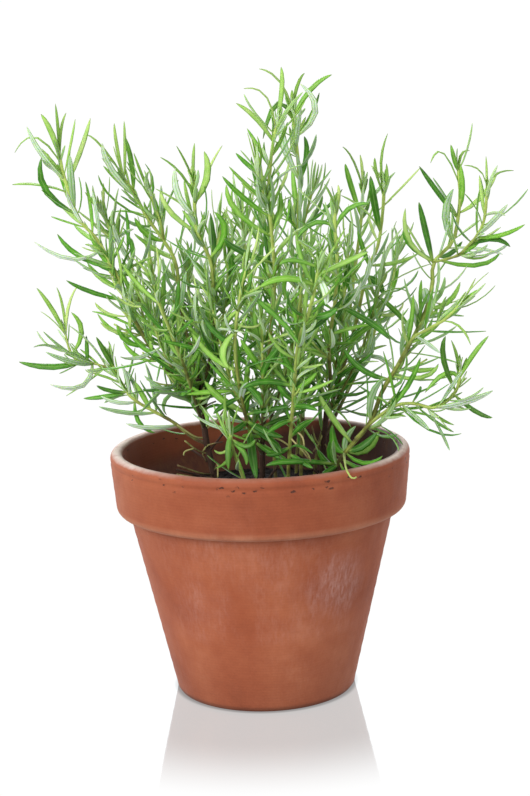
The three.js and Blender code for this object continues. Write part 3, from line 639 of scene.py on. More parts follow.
# %% Shoots of the left plant
LEFT_SHOOTS = [
    dict(
        name="shoot_left_outer", grows_from="woody_stem_left", radius=(1.5, 0.8), bare=12, turn=24,
        route=[
            (-31, 5, 149), (-37, 3, 159), (-46, -1, 173), (-57, -4, 189), (-68, -6, 212),
            (-72, -5, 226), (-82, -1, 245), (-92, 3, 257), (-99, 7, 279), (-101, 9, 291),
        ],
        outline=[
            (161, (-101, 9, 302), (-102, 11, 316), 1.8),
            (160, (-100, 12, 302), (-97, 15, 311), 1.8), (159, (-104, 5, 301), (-109, 4, 311), 3),
            (156, (-113, 10, 299), (-125, 14, 291), 1.8),
            (148, (-109, 1, 290), (-116, -1, 305), 3, UNDERSIDE),
            (150, (-95, 3, 292), (-91, 1, 308), 2.2), (145, (-90, 10, 291), (-84, 10, 308), 2.8),
            (129, (-108, -1, 272), (-109, -3, 289), 3.6),
            (132, (-94, -5, 277), (-94, -6, 290), 3.8, UNDERSIDE),
            (106, (-95, -6, 236), (-114, -10, 246), 2.8, UNDERSIDE),
            (94, (-92, -1, 237), (-103, -1, 249), 3), (82, (-80, 0, 224), (-88, 2, 232), 3),
            (76, (-85, -11, 219), (-98, -14, 226), 2.8), (58, (-75, -1, 204), (-87, 3, 207), 2.4),
            (49, (-68, -9, 192), (-73, -12, 202), 3),
        ],
    ),
    dict(
        name="branch_left_outer", grows_from="shoot_left_outer", radius=(1, 0.7), bare=8, turn=70,
        route=[
            (-57, -4, 189), (-62, 8, 212), (-67, 14, 233), (-77, 20, 249), (-81, 22, 258),
        ],
    ),
    dict(
        name="shoot_left_leader", grows_from="woody_stem_left", radius=(1.4, 0.8), bare=6, turn=50,
        route=[
            (-32, 5, 169), (-34, 12, 182), (-38, 18, 191), (-41, 23, 208), (-43, 30, 228),
            (-49, 33, 240), (-58, 36, 253), (-65, 39, 267), (-70, 40, 274),
        ],
        outline=[
            (120, (-73, 40, 291), (-74, 40, 304), 2), (120, (-69, 43, 290), (-69, 45, 305), 1.8),
            (118, (-81, 43, 291), (-90, 46, 298), 1.8), (112, (-65, 34, 282), (-68, 33, 297), 3),
            (108, (-76, 32, 280), (-80, 29, 294), 3.4, UNDERSIDE),
            (95, (-75, 32, 263), (-83, 30, 277), 2.2), (80, (-58, 27, 245), (-64, 25, 254), 3.6),
        ],
    ),
    dict(
        name="branch_left_leader", grows_from="shoot_left_leader", radius=(0.8, 0.6), bare=6,
        turn=10,
        route=[
            (-49, 33, 240), (-51, 29, 253), (-56, 26, 268),
        ],
    ),
    dict(
        name="shoot_left_inner", grows_from="woody_stem_left", radius=(1.4, 0.8), bare=8, turn=0,
        route=[
            (-31, 5, 161), (-26, -1, 177), (-23, -6, 200), (-22, -10, 218), (-23, -13, 234),
            (-29, -16, 249), (-30, -17, 261), (-30, -19, 276),
        ],
        outline=[
            (120, (-30, -17, 286), (-29, -17, 295), 1.8),
            (119, (-33, -21, 284), (-38, -22, 294), 1.8),
            (109, (-23, -23, 278), (-24, -24, 291), 3.8),
            (106, (-23, -13, 280), (-15, -10, 293), 1.8),
            (112, (-37, -14, 280), (-47, -12, 288), 2),
            (102, (-38, -23, 269), (-39, -25, 283), 3.6, UNDERSIDE),
            (93, (-42, -20, 260), (-47, -20, 271), 3), (78, (-15, -18, 249), (-20, -20, 260), 3.6),
        ],
    ),
    dict(
        name="shoot_left_low", grows_from="woody_stem_left", radius=(1.5, 0.8), bare=12, turn=35,
        route=[
            (-29, 6, 133), (-36, 8, 136), (-47, 13, 144), (-58, 20, 149), (-68, 26, 154),
            (-73, 30, 159), (-79, 33, 170), (-81, 34, 177),
        ],
        outline=[
            (71, (-83, 31, 179), (-88, 30, 189), 3), (56, (-85, 34, 155), (-97, 35, 154), 3),
            (49, (-66, 20, 143), (-57, 18, 137), 2.6),
        ],
    ),
    dict(
        name="branch_left_low", grows_from="shoot_left_low", radius=(0.9, 0.6), bare=5, turn=80,
        route=[
            (-79, 33, 170), (-85, 34, 172), (-93, 36, 174), (-100, 38, 175), (-104, 40, 181),
            (-106, 41, 189),
        ],
        outline=[
            (38, (-112, 39, 203), (-120, 37, 216), 2.6),
            (38, (-107, 44, 204), (-110, 45, 215), 1.6), (37, (-104, 43, 204), (-98, 43, 216), 2.2),
            (27, (-96, 32, 192), (-101, 30, 203), 3),
            (28, (-115, 44, 182), (-122, 44, 191), 2.4, UNDERSIDE),
            (20, (-114, 36, 172), (-132, 38, 175), 3.8),
            (13, (-97, 29, 162), (-114, 26, 164), 3.4, UNDERSIDE),
        ],
    ),
    dict(
        name="shoot_left_back", grows_from="woody_stem_left", radius=(1.3, 0.8), bare=10, turn=15,
        route=[
            (-30, 6, 157), (-42, 24, 178), (-52, 44, 201), (-58, 60, 222), (-60, 67, 235),
        ],
    ),
    dict(
        name="shoot_left_rear", grows_from="woody_stem_left", radius=(1.4, 0.8), bare=14, turn=60,
        route=[
            (-29, 6, 146), (-29, 24, 172), (-27, 42, 199), (-23, 58, 222), (-19, 67, 244),
        ],
    ),
    dict(
        name="shoot_left_front", grows_from="woody_stem_left", radius=(1.4, 0.8), bare=12, turn=45,
        route=[
            (-30, 6, 141), (-33, -10, 158), (-37, -26, 178), (-43, -40, 200), (-48, -50, 217),
            (-51, -55, 229),
        ],
    ),
]
print("shoots and branches on the left:", len(LEFT_SHOOTS))

# %% Shoots of the middle
MIDDLE_SHOOTS = [
    dict(
        name="shoot_centre", grows_from="woody_stem_centre", radius=(1.5, 0.8), bare=8, turn=30,
        route=[
            (1, -20, 138), (4, -21, 160), (7, -23, 195), (10, -25, 225), (9, -27, 250),
            (8, -28, 268), (10, -28, 289), (13, -28, 304),
        ],
        outline=[
            (165, (16, -24, 320), (16, -22, 332), 2.6), (164, (8, -32, 318), (-3, -34, 322), 1.8),
            (162, (2, -25, 310), (-3, -23, 319), 2.4, UNDERSIDE),
            (158, (3, -33, 307), (-7, -35, 315), 2.8), (120, (-5, -31, 268), (-15, -35, 279), 3),
            (110, (-8, -36, 261), (-13, -39, 275), 3.2), (96, (-7, -34, 241), (-15, -38, 248), 3.4),
        ],
    ),
    dict(
        name="branch_centre", grows_from="shoot_centre", radius=(0.8, 0.6), bare=6, turn=0,
        route=[
            (9, -27, 256), (5, -32, 272), (3, -35, 281),
        ],
    ),
    dict(
        name="shoot_centre_front", grows_from="woody_stem_centre", radius=(1.4, 0.8), bare=10,
        turn=65,
        route=[
            (1, -20, 132), (-5, -30, 148), (-9, -42, 170), (-11, -51, 195), (-8, -58, 219),
            (-4, -62, 236),
        ],
    ),
    dict(
        name="shoot_basal_front", grows_from="potting_soil", radius=(1.2, 0.7), bare=44, turn=15,
        route=[
            (-6, -36, SOIL_FOOT), (-6, -36, 110), (-9, -39, 124), (-13, -44, 138), (-15, -48, 151),
        ],
    ),
    dict(
        name="shoot_front", grows_from="potting_soil", radius=(1.6, 0.8), bare=46, turn=25,
        route=[
            (14, -30, SOIL_FOOT), (14, -30, 110), (15, -33, 132), (17, -41, 157), (19, -50, 181),
            (21, -58, 199), (25, -65, 210), (29, -72, 225), (31, -77, 238),
        ],
    ),
    dict(
        name="shoot_tallest", grows_from="potting_soil", radius=(1.8, 0.8), bare=50, turn=10,
        sparse=0.3,
        route=[
            (22, 20, SOIL_FOOT), (22, 20, 110), (24, 22, 152), (24, 24, 207), (24, 24, 253),
            (25, 22, 268), (24, 20, 288), (22, 18, 311),
        ],
        outline=[
            (237, (15, 15, 325), (5, 15, 331), 2.2), (237, (25, 22, 322), (29, 24, 328), 2.2),
            (233, (32, 15, 320), (43, 14, 327), 3),
            (222, (34, 11, 309), (26, 8, 323), 3.4, UNDERSIDE),
            (230, (14, 10, 313), (6, 6, 295), 3), (199, (17, 12, 291), (17, 11, 305), 4, UNDERSIDE),
        ],
    ),
    dict(
        name="branch_tallest", grows_from="shoot_tallest", radius=(0.8, 0.6), bare=6, turn=55,
        sparse=1, tip_leaves=2,
        route=[
            (24, 24, 236), (28, 29, 252), (32, 33, 265),
        ],
    ),
    dict(
        name="shoot_rear", grows_from="potting_soil", radius=(1.6, 0.8), bare=48, turn=40,
        route=[
            (8, 36, SOIL_FOOT), (8, 36, 110), (6, 44, 142), (2, 53, 175), (-3, 61, 208),
            (-6, 67, 236), (-7, 70, 252),
        ],
    ),
]
print("shoots and branches in the middle:", len(MIDDLE_SHOOTS))

# %% Shoots of the right plant
RIGHT_SHOOTS = [
    dict(
        name="shoot_right_rear", grows_from="potting_soil", radius=(1.6, 0.8), bare=50, turn=75,
        sparse=1,
        route=[
            (30, 31, SOIL_FOOT), (30, 31, 110), (36, 34, 136), (43, 39, 155), (50, 46, 187),
            (56, 55, 223), (60, 60, 249), (61, 62, 264),
        ],
        outline=[
            (197, (56, 60, 279), (50, 58, 287), 2.2), (197, (61, 65, 274), (60, 66, 282), 1.8),
            (181, (54, 54, 266), (51, 53, 278), 3.2),
        ],
    ),
    dict(
        name="shoot_back_right", grows_from="potting_soil", radius=(1.5, 0.8), bare=48, turn=5,
        sparse=0.4,
        route=[
            (20, 42, SOIL_FOOT), (20, 42, 110), (24, 49, 140), (31, 57, 173), (38, 64, 204),
            (43, 68, 228),
        ],
    ),
    dict(
        name="shoot_right_front", grows_from="woody_stem_right", radius=(1.4, 0.8), bare=8, turn=85,
        sparse=0.4,
        route=[
            (36, 0, 150), (38, -12, 168), (37, -30, 190), (40, -44, 216), (41, -54, 236),
            (40, -60, 253), (40, -62, 264),
        ],
        outline=[
            (128, (39, -65, 268), (35, -66, 276), 2.4), (128, (42, -60, 268), (42, -59, 275), 2),
            (121, (47, -65, 264), (57, -68, 266), 2.8),
        ],
    ),
    dict(
        name="shoot_right_inner", grows_from="woody_stem_right", radius=(1.4, 0.8), bare=10,
        turn=30, sparse=1,
        route=[
            (35, 1, 142), (42, 9, 160), (53, 14, 194), (60, 17, 223), (66, 18, 236), (69, 20, 254),
            (70, 21, 267),
        ],
        outline=[
            (129, (66, 18, 274), (65, 17, 283), 2.4), (128, (71, 16, 270), (71, 14, 280), 2.2),
            (109, (64, 10, 260), (62, 8, 274), 4), (123, (80, 23, 267), (90, 24, 277), 1.8),
            (133, (69, 27, 281), (73, 30, 295), 1.6),
        ],
    ),
    dict(
        name="shoot_right_back", grows_from="woody_stem_right", radius=(1.4, 0.8), bare=14, turn=0,
        sparse=0.8,
        route=[
            (34, 2, 134), (48, 20, 156), (62, 37, 180), (73, 50, 206), (80, 58, 228),
        ],
    ),
    dict(
        name="shoot_right_main", grows_from="potting_soil", radius=(2, 0.9), bare=44, turn=60,
        sparse=0.7, tip_leaves=1,
        route=[
            (36, -24, SOIL_FOOT), (36, -24, 110), (41, -25, 128), (57, -30, 149), (64, -30, 166),
            (73, -28, 180), (84, -22, 198), (89, -18, 209), (92, -14, 219), (93, -12, 230),
            (103, -6, 239), (106, -4, 248), (108, -2, 264), (107, 0, 279),
        ],
        outline=[
            (228, (105, -4, 282), (103, -5, 290), 2.6), (226, (109, 3, 284), (114, 6, 286), 1.8),
            (220, (99, -5, 286), (92, -9, 281), 1.8), (203, (96, -1, 266), (87, 0, 279), 3),
            (206, (119, 0, 262), (128, 2, 275), 2.8),
            (191, (99, -15, 255), (103, -16, 268), 4.2, UNDERSIDE),
            (175, (80, -17, 242), (78, -19, 259), 2.8), (174, (89, -8, 247), (86, -7, 261), 3.4),
            (177, (116, -5, 227), (129, -1, 233), 2.8), (150, (100, -13, 209), (107, -9, 219), 3),
            (84, (58, -37, 165), (65, -38, 175), 3.8, UNDERSIDE),
            (68, (37, -34, 155), (31, -36, 167), 3.4), (63, (56, -20, 133), (63, -16, 142), 4),
            (58, (56, -28, 124), (63, -30, 131), 3), (54, (17, -42, 133), (3, -46, 132), 3.4, DEEP),
            (56, (46, -37, 122), (49, -41, 126), 2),
        ],
    ),
    dict(
        name="branch_right_upper", grows_from="shoot_right_main", radius=(1, 0.7), bare=8, turn=20,
        sparse=0.6,
        route=[
            (93, -12, 230), (104, -20, 234), (109, -28, 240), (113, -34, 246), (116, -38, 254),
            (117, -42, 268),
        ],
        outline=[
            (33, (124, -39, 246), (135, -48, 252), 2.8),
            (24, (120, -35, 244), (129, -39, 240), 3.2),
            (58, (121, -39, 276), (131, -37, 278), 1.6),
            (57, (114, -46, 278), (105, -48, 282), 1.6),
        ],
    ),
    dict(
        name="branch_right_low", grows_from="shoot_right_main", radius=(1.3, 0.7), bare=18, turn=45,
        sparse=0.3,
        route=[
            (50, -28, 141), (61, -34, 153), (71, -38, 160), (80, -40, 161), (89, -42, 159),
            (97, -42, 163), (102, -42, 170), (103, -42, 179),
        ],
        outline=[
            (50, (104, -46, 162), (119, -47, 168), 4.2, UNDERSIDE),
            (62, (111, -39, 156), (120, -37, 152), 2.8),
            (71, (109, -45, 186), (117, -46, 196), 2.6), (64, (94, -48, 185), (95, -49, 197), 3),
            (71, (102, -39, 184), (99, -38, 193), 2), (31, (88, -42, 147), (103, -46, 146), 2),
        ],
    ),
    dict(
        name="branch_right_middle", grows_from="shoot_right_main", radius=(1.1, 0.7), bare=8,
        turn=10, sparse=0.5,
        route=[
            (73, -28, 180), (79, -38, 194), (87, -43, 200), (95, -46, 205), (103, -48, 213),
        ],
        outline=[
            (37, (102, -48, 212), (111, -49, 220), 3), (38, (102, -51, 202), (107, -54, 193), 1.8),
        ],
    ),
]
SHOOTS = LEFT_SHOOTS + MIDDLE_SHOOTS + RIGHT_SHOOTS
for i, shoot in enumerate(SHOOTS):
    shoot["number"] = i + 1
    shoot["line"] = StemLine(shoot["route"])
print("shoots and branches in all:", len(SHOOTS))

# %% [markdown]
# In the thick of the plant many more young shoots stand close together. One hides the other, so
# they need no list of leaves. The table says only where each one stands and where its tip is, and
# their leaves are wild: they stray from the rule by as much as they can.

# %% Shoots in the thick of the plant
INNER_FEET_AND_TIPS = [
    ((-30, 5, 150), (-56, -26, 214)), ((-30, 6, 146), (-38, 44, 226)),
    ((-30, 5, 156), (-12, -8, 240)), ((-30, 6, 150), (-60, 36, 208)),
    ((1, -20, 134), (-22, -38, 212)), ((1, -20, 136), (3, -54, 208)),
    ((2, -20, 138), (27, -24, 240)), ((35, 1, 144), (67, 0, 222)), ((36, 0, 149), (48, -28, 240)),
    ((23, 21, 150), (5, 2, 252)), ((23, 21, 148), (22, 62, 226)),
]
FIRST_INNER_NUMBER = 60
INNER_RADIUS = (0.9, 0.55)  # at its foot, at its tip
INNER_BARE, INNER_TURN = 7, 37
INNER_BOW = np.array([0.14, 0.14, 0])
INNER_SHOOTS = []
for i, (foot, tip) in enumerate(INNER_FEET_AND_TIPS):
    start, end = np.array(foot, float), np.array(tip, float)
    halfway = start * 0.5 + end * 0.5 + INNER_BOW * (end - start)
    INNER_SHOOTS.append(
        dict(
            name=f"inner_shoot_{i}", grows_from="old_wood", number=FIRST_INNER_NUMBER + i,
            radius=INNER_RADIUS, bare=INNER_BARE, turn=INNER_TURN * i, wild=1.0,
            line=StemLine([start, halfway, end]),
        )
    )
print("shoots in the thick of the plant:", len(INNER_SHOOTS))

# %% [markdown]
# Some leaves in front of the thicket catch the eye: a broad bright one, a few that turn their
# silver backs, dark ones that cross them, and the low tuft over the soil. They are listed like
# those of the outline. DEEP and BRIGHT set how green they are.

# %% Leaves that catch the eye
MORE_LEAVES = {
    "shoot_front": [
        (66, (9, -40, 137), (3, -43, 137), 3.0, DEEP),
        (72, (21, -41, 151), (27, -45, 155), 3.0, DEEP),
        (82, (10, -45, 153), (4, -48, 149), 3.2, DEEP),
        (62, (21, -38, 132), (27, -42, 129), 3.0, DEEP),
        (94, (13, -48, 170), (9, -50, 177), 3.0, DEEP), (100, (24, -50, 175), (30, -52, 181), 3.0),
        (110, (14, -53, 188), (12, -56, 196), 3.0, DEEP),
        (164, (15, -76, 232), (2, -79, 228), 4.0, BRIGHT),
        (174, (19, -79, 241), (12, -81, 239), 2.6, DEEP),
        (170, (44, -77, 239), (55, -79, 244), 3.0),
        (170, (34, -77, 225), (34, -79, 219), 4.0, UNDERSIDE),
        (102, (4, -52, 177), (-8, -55, 174), 3.6, DEEP),
        (144, (17, -66, 208), (13, -68, 213), 2.4, UNDERSIDE),
        (174, (27, -79, 245), (20, -80, 251), 2.2),
        (146, (34, -68, 212), (40, -70, 216), 4.0, DEEP),
        (90, (23, -48, 163), (30, -51, 161), 3.0, DEEP),
    ],
    "shoot_centre_front": [
        (20, (6, -36, 143), (11, -40, 137), 3.4, DEEP),
        (26, (-11, -37, 150), (-17, -39, 148), 3.4, DEEP),
        (22, (-14, -35, 158), (-17, -37, 166), 3.2, DEEP),
        (42, (-17, -44, 164), (-23, -47, 160), 3.0, DEEP),
        (52, (-2, -48, 171), (2, -51, 164), 3.4, DEEP),
        (104, (11, -66, 211), (21, -70, 198), 2.8, DEEP),
        (100, (-6, -61, 230), (-3, -63, 239), 3.0, DEEP),
        (48, (-10, -47, 187), (-10, -49, 199), 3.0, BRIGHT),
        (80, (-17, -57, 194), (-14, -59, 185), 3.6),
        (40, (-8, -44, 171), (-5, -48, 176), 4.0, UNDERSIDE),
        (32, (-19, -39, 166), (-27, -42, 176), 4.0),
        (24, (-16, -36, 155), (-24, -38, 157), 3.0, UNDERSIDE),
        (26, (2, -39, 149), (12, -43, 146), 4.0, DEEP),
        (28, (-6, -39, 165), (-4, -42, 173), 3.4, DEEP),
        (30, (5, -40, 160), (16, -43, 162), 3.0, DEEP),
        (20, (-4, -42, 138), (-2, -50, 126), 4.6, DEEP), (10, (6, -30, 135), (14, -33, 132), 3.4),
    ],
    "shoot_right_inner": [
        (84, (65, 13, 217), (68, 11, 211), 4.6, DEEP), (90, (75, 16, 227), (86, 15, 231), 2.6),
        (90, (58, 15, 235), (55, 14, 245), 2.8),
    ],
    "inner_shoot_7": [(74, (74, -2, 203), (82, -4, 193), 3.0, DEEP)],
    "inner_shoot_9": [(86, (-8, 0, 238), (-16, -4, 246), 3.0, DEEP)],
    "shoot_right_front": [
        (18, (39, -14, 162), (23, -18, 159), 3.4, DEEP),
        (78, (57, -47, 205), (67, -49, 196), 3.4, DEEP), (122, (30, -60, 257), (21, -60, 249), 2.8),
    ],
    "inner_shoot_2": [(70, (-12, -9, 231), (-14, -10, 239), 3.6)],
    "shoot_right_main": [
        (56, (37, -26, 132), (38, -27, 142), 4.4, DEEP),
        (54, (36, -30, 125), (32, -33, 124), 3.0, DEEP),
        (52, (34, -27, 129), (30, -29, 136), 3.4, DEEP),
        (64, (53, -30, 137), (61, -32, 145), 4.2, DEEP),
        (176, (82, -13, 238), (77, -14, 247), 2.8, DEEP),
        (152, (88, -20, 214), (87, -21, 218), 4.6, UNDERSIDE),
        (138, (82, -24, 207), (80, -25, 214), 4.0, UNDERSIDE),
        (108, (54, -33, 178), (44, -35, 190), 3.4, DEEP),
        (110, (85, -31, 173), (93, -32, 180), 2.6),
        (62, (45, -28, 141), (50, -30, 148), 3.6, UNDERSIDE),
        (62, (54, -34, 129), (63, -40, 134), 2.6, BRIGHT),
        (62, (39, -28, 138), (38, -30, 149), 4.2, DEEP), (208, (109, -3, 267), (108, -3, 280), 3.2),
    ],
    "inner_shoot_8": [(74, (47, -26, 225), (48, -28, 233), 4.0, DEEP)],
    "shoot_left_inner": [(30, (-22, -7, 179), (-14, -10, 170), 3.4, DEEP)],
    "inner_shoot_5": [
        (48, (5, -49, 186), (13, -52, 196), 3.8, DEEP), (52, (-3, -50, 190), (-8, -53, 199), 3.2),
    ],
    "branch_right_low": [
        (26, (77, -39, 171), (83, -41, 185), 2.8, BRIGHT),
        (30, (68, -40, 174), (64, -42, 189), 2.0),
        (70, (96, -42, 177), (85, -42, 167), 2.8, BRIGHT),
        (38, (82, -40, 167), (83, -40, 170), 2.0),
    ],
    "shoot_basal_front": [
        (74, (-8, -50, 140), (-7, -52, 134), 2.8, DEEP),
        (72, (-19, -49, 140), (-23, -51, 142), 2.4),
        (78, (-16, -51, 142), (-16, -53, 132), 3.2, DEEP),
        (70, (-17, -47, 135), (-23, -49, 132), 2.4),
        (76, (-7, -49, 143), (-2, -51, 147), 2.8, DEEP),
    ],
    "shoot_left_outer": [(120, (-98, 1, 255), (-106, 1, 258), 2.0)],
    "shoot_left_leader": [
        (100, (-66, 37, 261), (-72, 37, 265), 2.0), (98, (-54, 36, 270), (-58, 36, 282), 1.6),
        (68, (-55, 30, 237), (-65, 30, 245), 2.6),
    ],
    "branch_left_leader": [(2, (-52, 32, 256), (-56, 32, 269), 3.4)],
    "branch_left_outer": [(52, (-67, 15, 248), (-68, 15, 260), 2.0)],
    "branch_left_low": [(16, (-94, 36, 181), (-94, 36, 189), 2.4)],
    "shoot_left_low": [
        (56, (-82, 30, 159), (-89, 30, 162), 2.6), (38, (-63, 21, 157), (-67, 21, 165), 3.0),
    ],
    "shoot_tallest": [(198, (29, 22, 285), (28, 22, 295), 3.0, DEEP)],
    "shoot_centre": [(138, (-1, -28, 283), (-8, -28, 290), 2.6)],
}
for shoot in SHOOTS + INNER_SHOOTS:
    shoot["more"] = MORE_LEAVES.get(shoot["name"], [])
print("leaves that catch the eye:", sum(len(marks) for marks in MORE_LEAVES.values()))

# %% [markdown]
# ## A stem
#
# A stem is a long tapering rod with a small swelling at each pair of leaves. The pattern is a
# cylinder whose long edges are cut into many rings. A copy of it is laid along each stem's line.
# A curve object with a bevel would give the same tube, but a mesh lets each ring have its own
# thickness and lets one UV map run up the stem.


# %% The pattern of a stem
def rod_pattern(name, sides, rings):
    """A cylinder from 0 to 1 up the Z axis, with rings cut into its long edges and a UV map."""
    bpy.ops.object.select_all(action="DESELECT")
    bpy.ops.mesh.primitive_cylinder_add(vertices=sides, radius=1, depth=1, location=(0, 0, 0.5))
    rod = bpy.context.object
    rod.name = name
    bpy.ops.object.transform_apply(location=True)
    bpy.ops.object.mode_set(mode="EDIT")
    bpy.ops.mesh.select_all(action="DESELECT")
    bpy.ops.object.mode_set(mode="OBJECT")
    bpy.context.tool_settings.mesh_select_mode = (False, True, False)
    for edge in rod.data.edges:
        ends = [rod.data.vertices[v].co.z for v in edge.vertices]
        edge.select = abs(ends[0] - ends[1]) > 0.5
    bpy.ops.object.mode_set(mode="EDIT")
    bpy.ops.mesh.subdivide_edgering(number_cuts=rings - 1)
    bpy.ops.object.mode_set(mode="OBJECT")
    bpy.context.tool_settings.mesh_select_mode = (True, False, False)
    bpy.ops.object.shade_smooth()
    uv = rod.data.uv_layers.active.data
    for loop in rod.data.loops:
        place = rod.data.vertices[loop.vertex_index].co
        uv[loop.index].uv = (math.atan2(place.y, place.x) / (2 * math.pi) + 0.5, place.z)
    return rod


green_rod = rod_pattern("green_rod", 8, 40)
wood_rod = rod_pattern("wood_rod", 10, 60)
twig_rod = rod_pattern("twig_rod", 6, 8)
rods = (green_rod, wood_rod, twig_rod)
print("faces of the stem patterns:", [len(rod.data.polygons) for rod in rods])


# %% Laying a rod along a line
def even(radius):
    """The thickness of a twig that doesn't taper."""
    return lambda distance: radius


def tapering(foot, tip, line):
    """The thickness of a stem that tapers evenly from its foot to its tip."""
    return lambda distance: foot + (tip - foot) * distance / line.length


def laid_along(rod, line, thickness, name, turn=0.0, youth=0.0):
    """A copy of a rod laid along a stem's line. thickness gives the radius at a distance. youth
    moves the UV map up, so that a side branch isn't as brown at its foot as an old shoot."""
    shape = read_points(rod)
    points = np.empty_like(shape)
    for height in np.unique(np.round(shape[:, 2], 5)):
        distance = height * line.length
        first, second = across(line.along(distance))
        ring = np.abs(shape[:, 2] - height) < 1e-4
        angle = np.arctan2(shape[ring, 1], shape[ring, 0]) + math.radians(turn)
        reach = np.hypot(shape[ring, 0], shape[ring, 1]) * thickness(distance)
        aside = np.outer(np.cos(angle) * reach, first) + np.outer(np.sin(angle) * reach, second)
        points[ring] = line.point(distance) + aside
    laid = copy_of(rod, points * MM, name)
    uv = np.empty(len(laid.data.loops) * 2, np.float32)
    laid.data.uv_layers.active.data.foreach_get("uv", uv)
    uv[1::2] = youth + (1 - youth) * uv[1::2]
    laid.data.uv_layers.active.data.foreach_set("uv", uv)
    return laid


print("points to lay for each rod:", [len(rod.data.vertices) for rod in rods])

# %% [markdown]
# ## A leaf
#
# A rosemary leaf is a narrow strip with its edges rolled under. Its upper face is smooth and
# green, with a groove down the middle. Its underside is pale felt on both sides of a raised rib.
# The pattern starts as a circle of eight points, which is the leaf's cross-section. It is
# extruded seven times and resized each time, so that it swells and narrows to the tip. A flat
# plane bent by a modifier would be simpler, but thousands of leaves edge-on would vanish. The
# points are in shares: X across the leaf, Y along it, Z up out of its upper face.

# %% The pattern of a leaf
LEAF_RINGS = [  # share of the length, share of the full width
    (0.0, 0.3), (0.09, 0.56), (0.24, 0.86), (0.46, 1.0), (0.68, 0.93), (0.84, 0.7), (0.94, 0.42),
    (1.0, 0.08),
]
LEAF_SECTION = [  # across, up: round the edge from the right, over the upper face and back below
    (0.5, -0.1), (0.3, 0.34), (0.0, 0.14), (-0.3, 0.34), (-0.5, -0.1), (-0.3, -0.4), (0.0, -0.26),
    (0.3, -0.4),
]

bpy.ops.object.select_all(action="DESELECT")
bpy.ops.mesh.primitive_circle_add(
    vertices=len(LEAF_SECTION), radius=0.5, fill_type="NGON", rotation=(math.pi / 2, 0, 0)
)
leaf_pattern = bpy.context.object
leaf_pattern.name = "leaf_pattern"
bpy.ops.object.transform_apply(rotation=True)
bpy.ops.object.mode_set(mode="EDIT")
bpy.ops.mesh.select_all(action="SELECT")
widest = LEAF_RINGS[0][1]
bpy.ops.transform.resize(value=(widest, 1, widest))
for (start, width), (end, next_width) in zip(LEAF_RINGS, LEAF_RINGS[1:]):
    bpy.ops.mesh.extrude_region_move(TRANSFORM_OT_translate={"value": (0, end - start, 0)})
    grow = next_width / width
    bpy.ops.transform.resize(value=(grow, 1, grow))
bpy.ops.mesh.select_all(action="SELECT")
bpy.ops.mesh.normals_make_consistent(inside=False)
bpy.ops.object.mode_set(mode="OBJECT")
bpy.ops.object.shade_smooth()
print("faces of one leaf:", len(leaf_pattern.data.polygons))

# %% [markdown]
# The eight corners of each ring are now moved to the real cross-section, with its groove and its
# rib. The faces that look up get the first material, and the others the second. The UV map runs
# across the leaf and along it, and an attribute waits for the tone that each leaf will have.


# %% Section, faces and UV map of the leaf
def width_at(share):
    """A leaf's share of its full width at a share of its length."""
    return np.interp(share, [ring[0] for ring in LEAF_RINGS], [ring[1] for ring in LEAF_RINGS])


leaf_shape = read_points(leaf_pattern)
for i, (px, py, pz) in enumerate(leaf_shape):
    corner = round(math.degrees(math.atan2(pz, px)) / 45) % len(LEAF_SECTION)
    over, up = LEAF_SECTION[corner]
    width = width_at(py)
    leaf_shape[i] = (over * width, py, up * min(1.0, 0.35 + 0.8 * width))
write_points(leaf_pattern, leaf_shape)
leaf_uv = leaf_pattern.data.uv_layers.active or leaf_pattern.data.uv_layers.new(name="UVMap")
for face in leaf_pattern.data.polygons:
    face.material_index = 0 if face.normal.z > 0.05 else 1
    for i in face.loop_indices:
        place = leaf_pattern.data.vertices[leaf_pattern.data.loops[i].vertex_index].co
        leaf_uv.data[i].uv = (place.x / max(width_at(place.y), 0.05) + 0.5, place.y)
leaf_pattern.data.color_attributes.new("leaf_tone", "FLOAT_COLOR", "POINT")
print("green faces:", sum(face.material_index == 0 for face in leaf_pattern.data.polygons))

# %% [markdown]
# ## Where the leaves sit
#
# Leaves sit in pairs, and each pair is turned a quarter from the one below. The pairs are crowded
# at the growing tip, where the leaves are shorter, narrower and folded up round the bud. Each
# leaf has small differences in size, angle, curl and roll, drawn from a repeatable scatter. Every
# leaf could be placed by hand, but two thousand of them need a rule, and the rule of the real
# plant is this simple.

# %% Pairs of leaves along a shoot
LEAF_PITCH = 7.6
CROWDING = 1.3
YOUNG_LENGTH = 26
OUTER_ZONE, INNER_ZONE = 50, 120


def depth_of(shoot, distance):
    """0 near a shoot's tip, where light falls in, and 1 in the thick of the plant."""
    left_to_tip = shoot["line"].length - distance
    return min(1, max(0, (left_to_tip - OUTER_ZONE) / (INNER_ZONE - OUTER_ZONE)))


def youth_at(shoot, distance):
    """0 for a leaf that is full grown, and 1 at the shoot's tip."""
    return min(1, max(0, 1 - (shoot["line"].length - distance) / YOUNG_LENGTH))


def pairs_on(shoot):
    """How many pairs of leaves a shoot has."""
    return math.floor((shoot["line"].length - shoot["bare"]) / LEAF_PITCH + 0.5) + 3


def pair_distance(shoot, pair):
    """Millimetres along the shoot to a pair of leaves, which crowd towards the tip."""
    part = pair / (pairs_on(shoot) - 1)
    leafy = shoot["line"].length - shoot["bare"] - 0.5
    return shoot["bare"] + leafy * (1 - (1 - part) ** CROWDING)


print("pairs on the first shoot:", pairs_on(SHOOTS[0]))

# %% The line of a leaf
LEAF_STEPS = 12
LIGHT_SEEKING = 0.28
BROAD_LEAF = 2.4


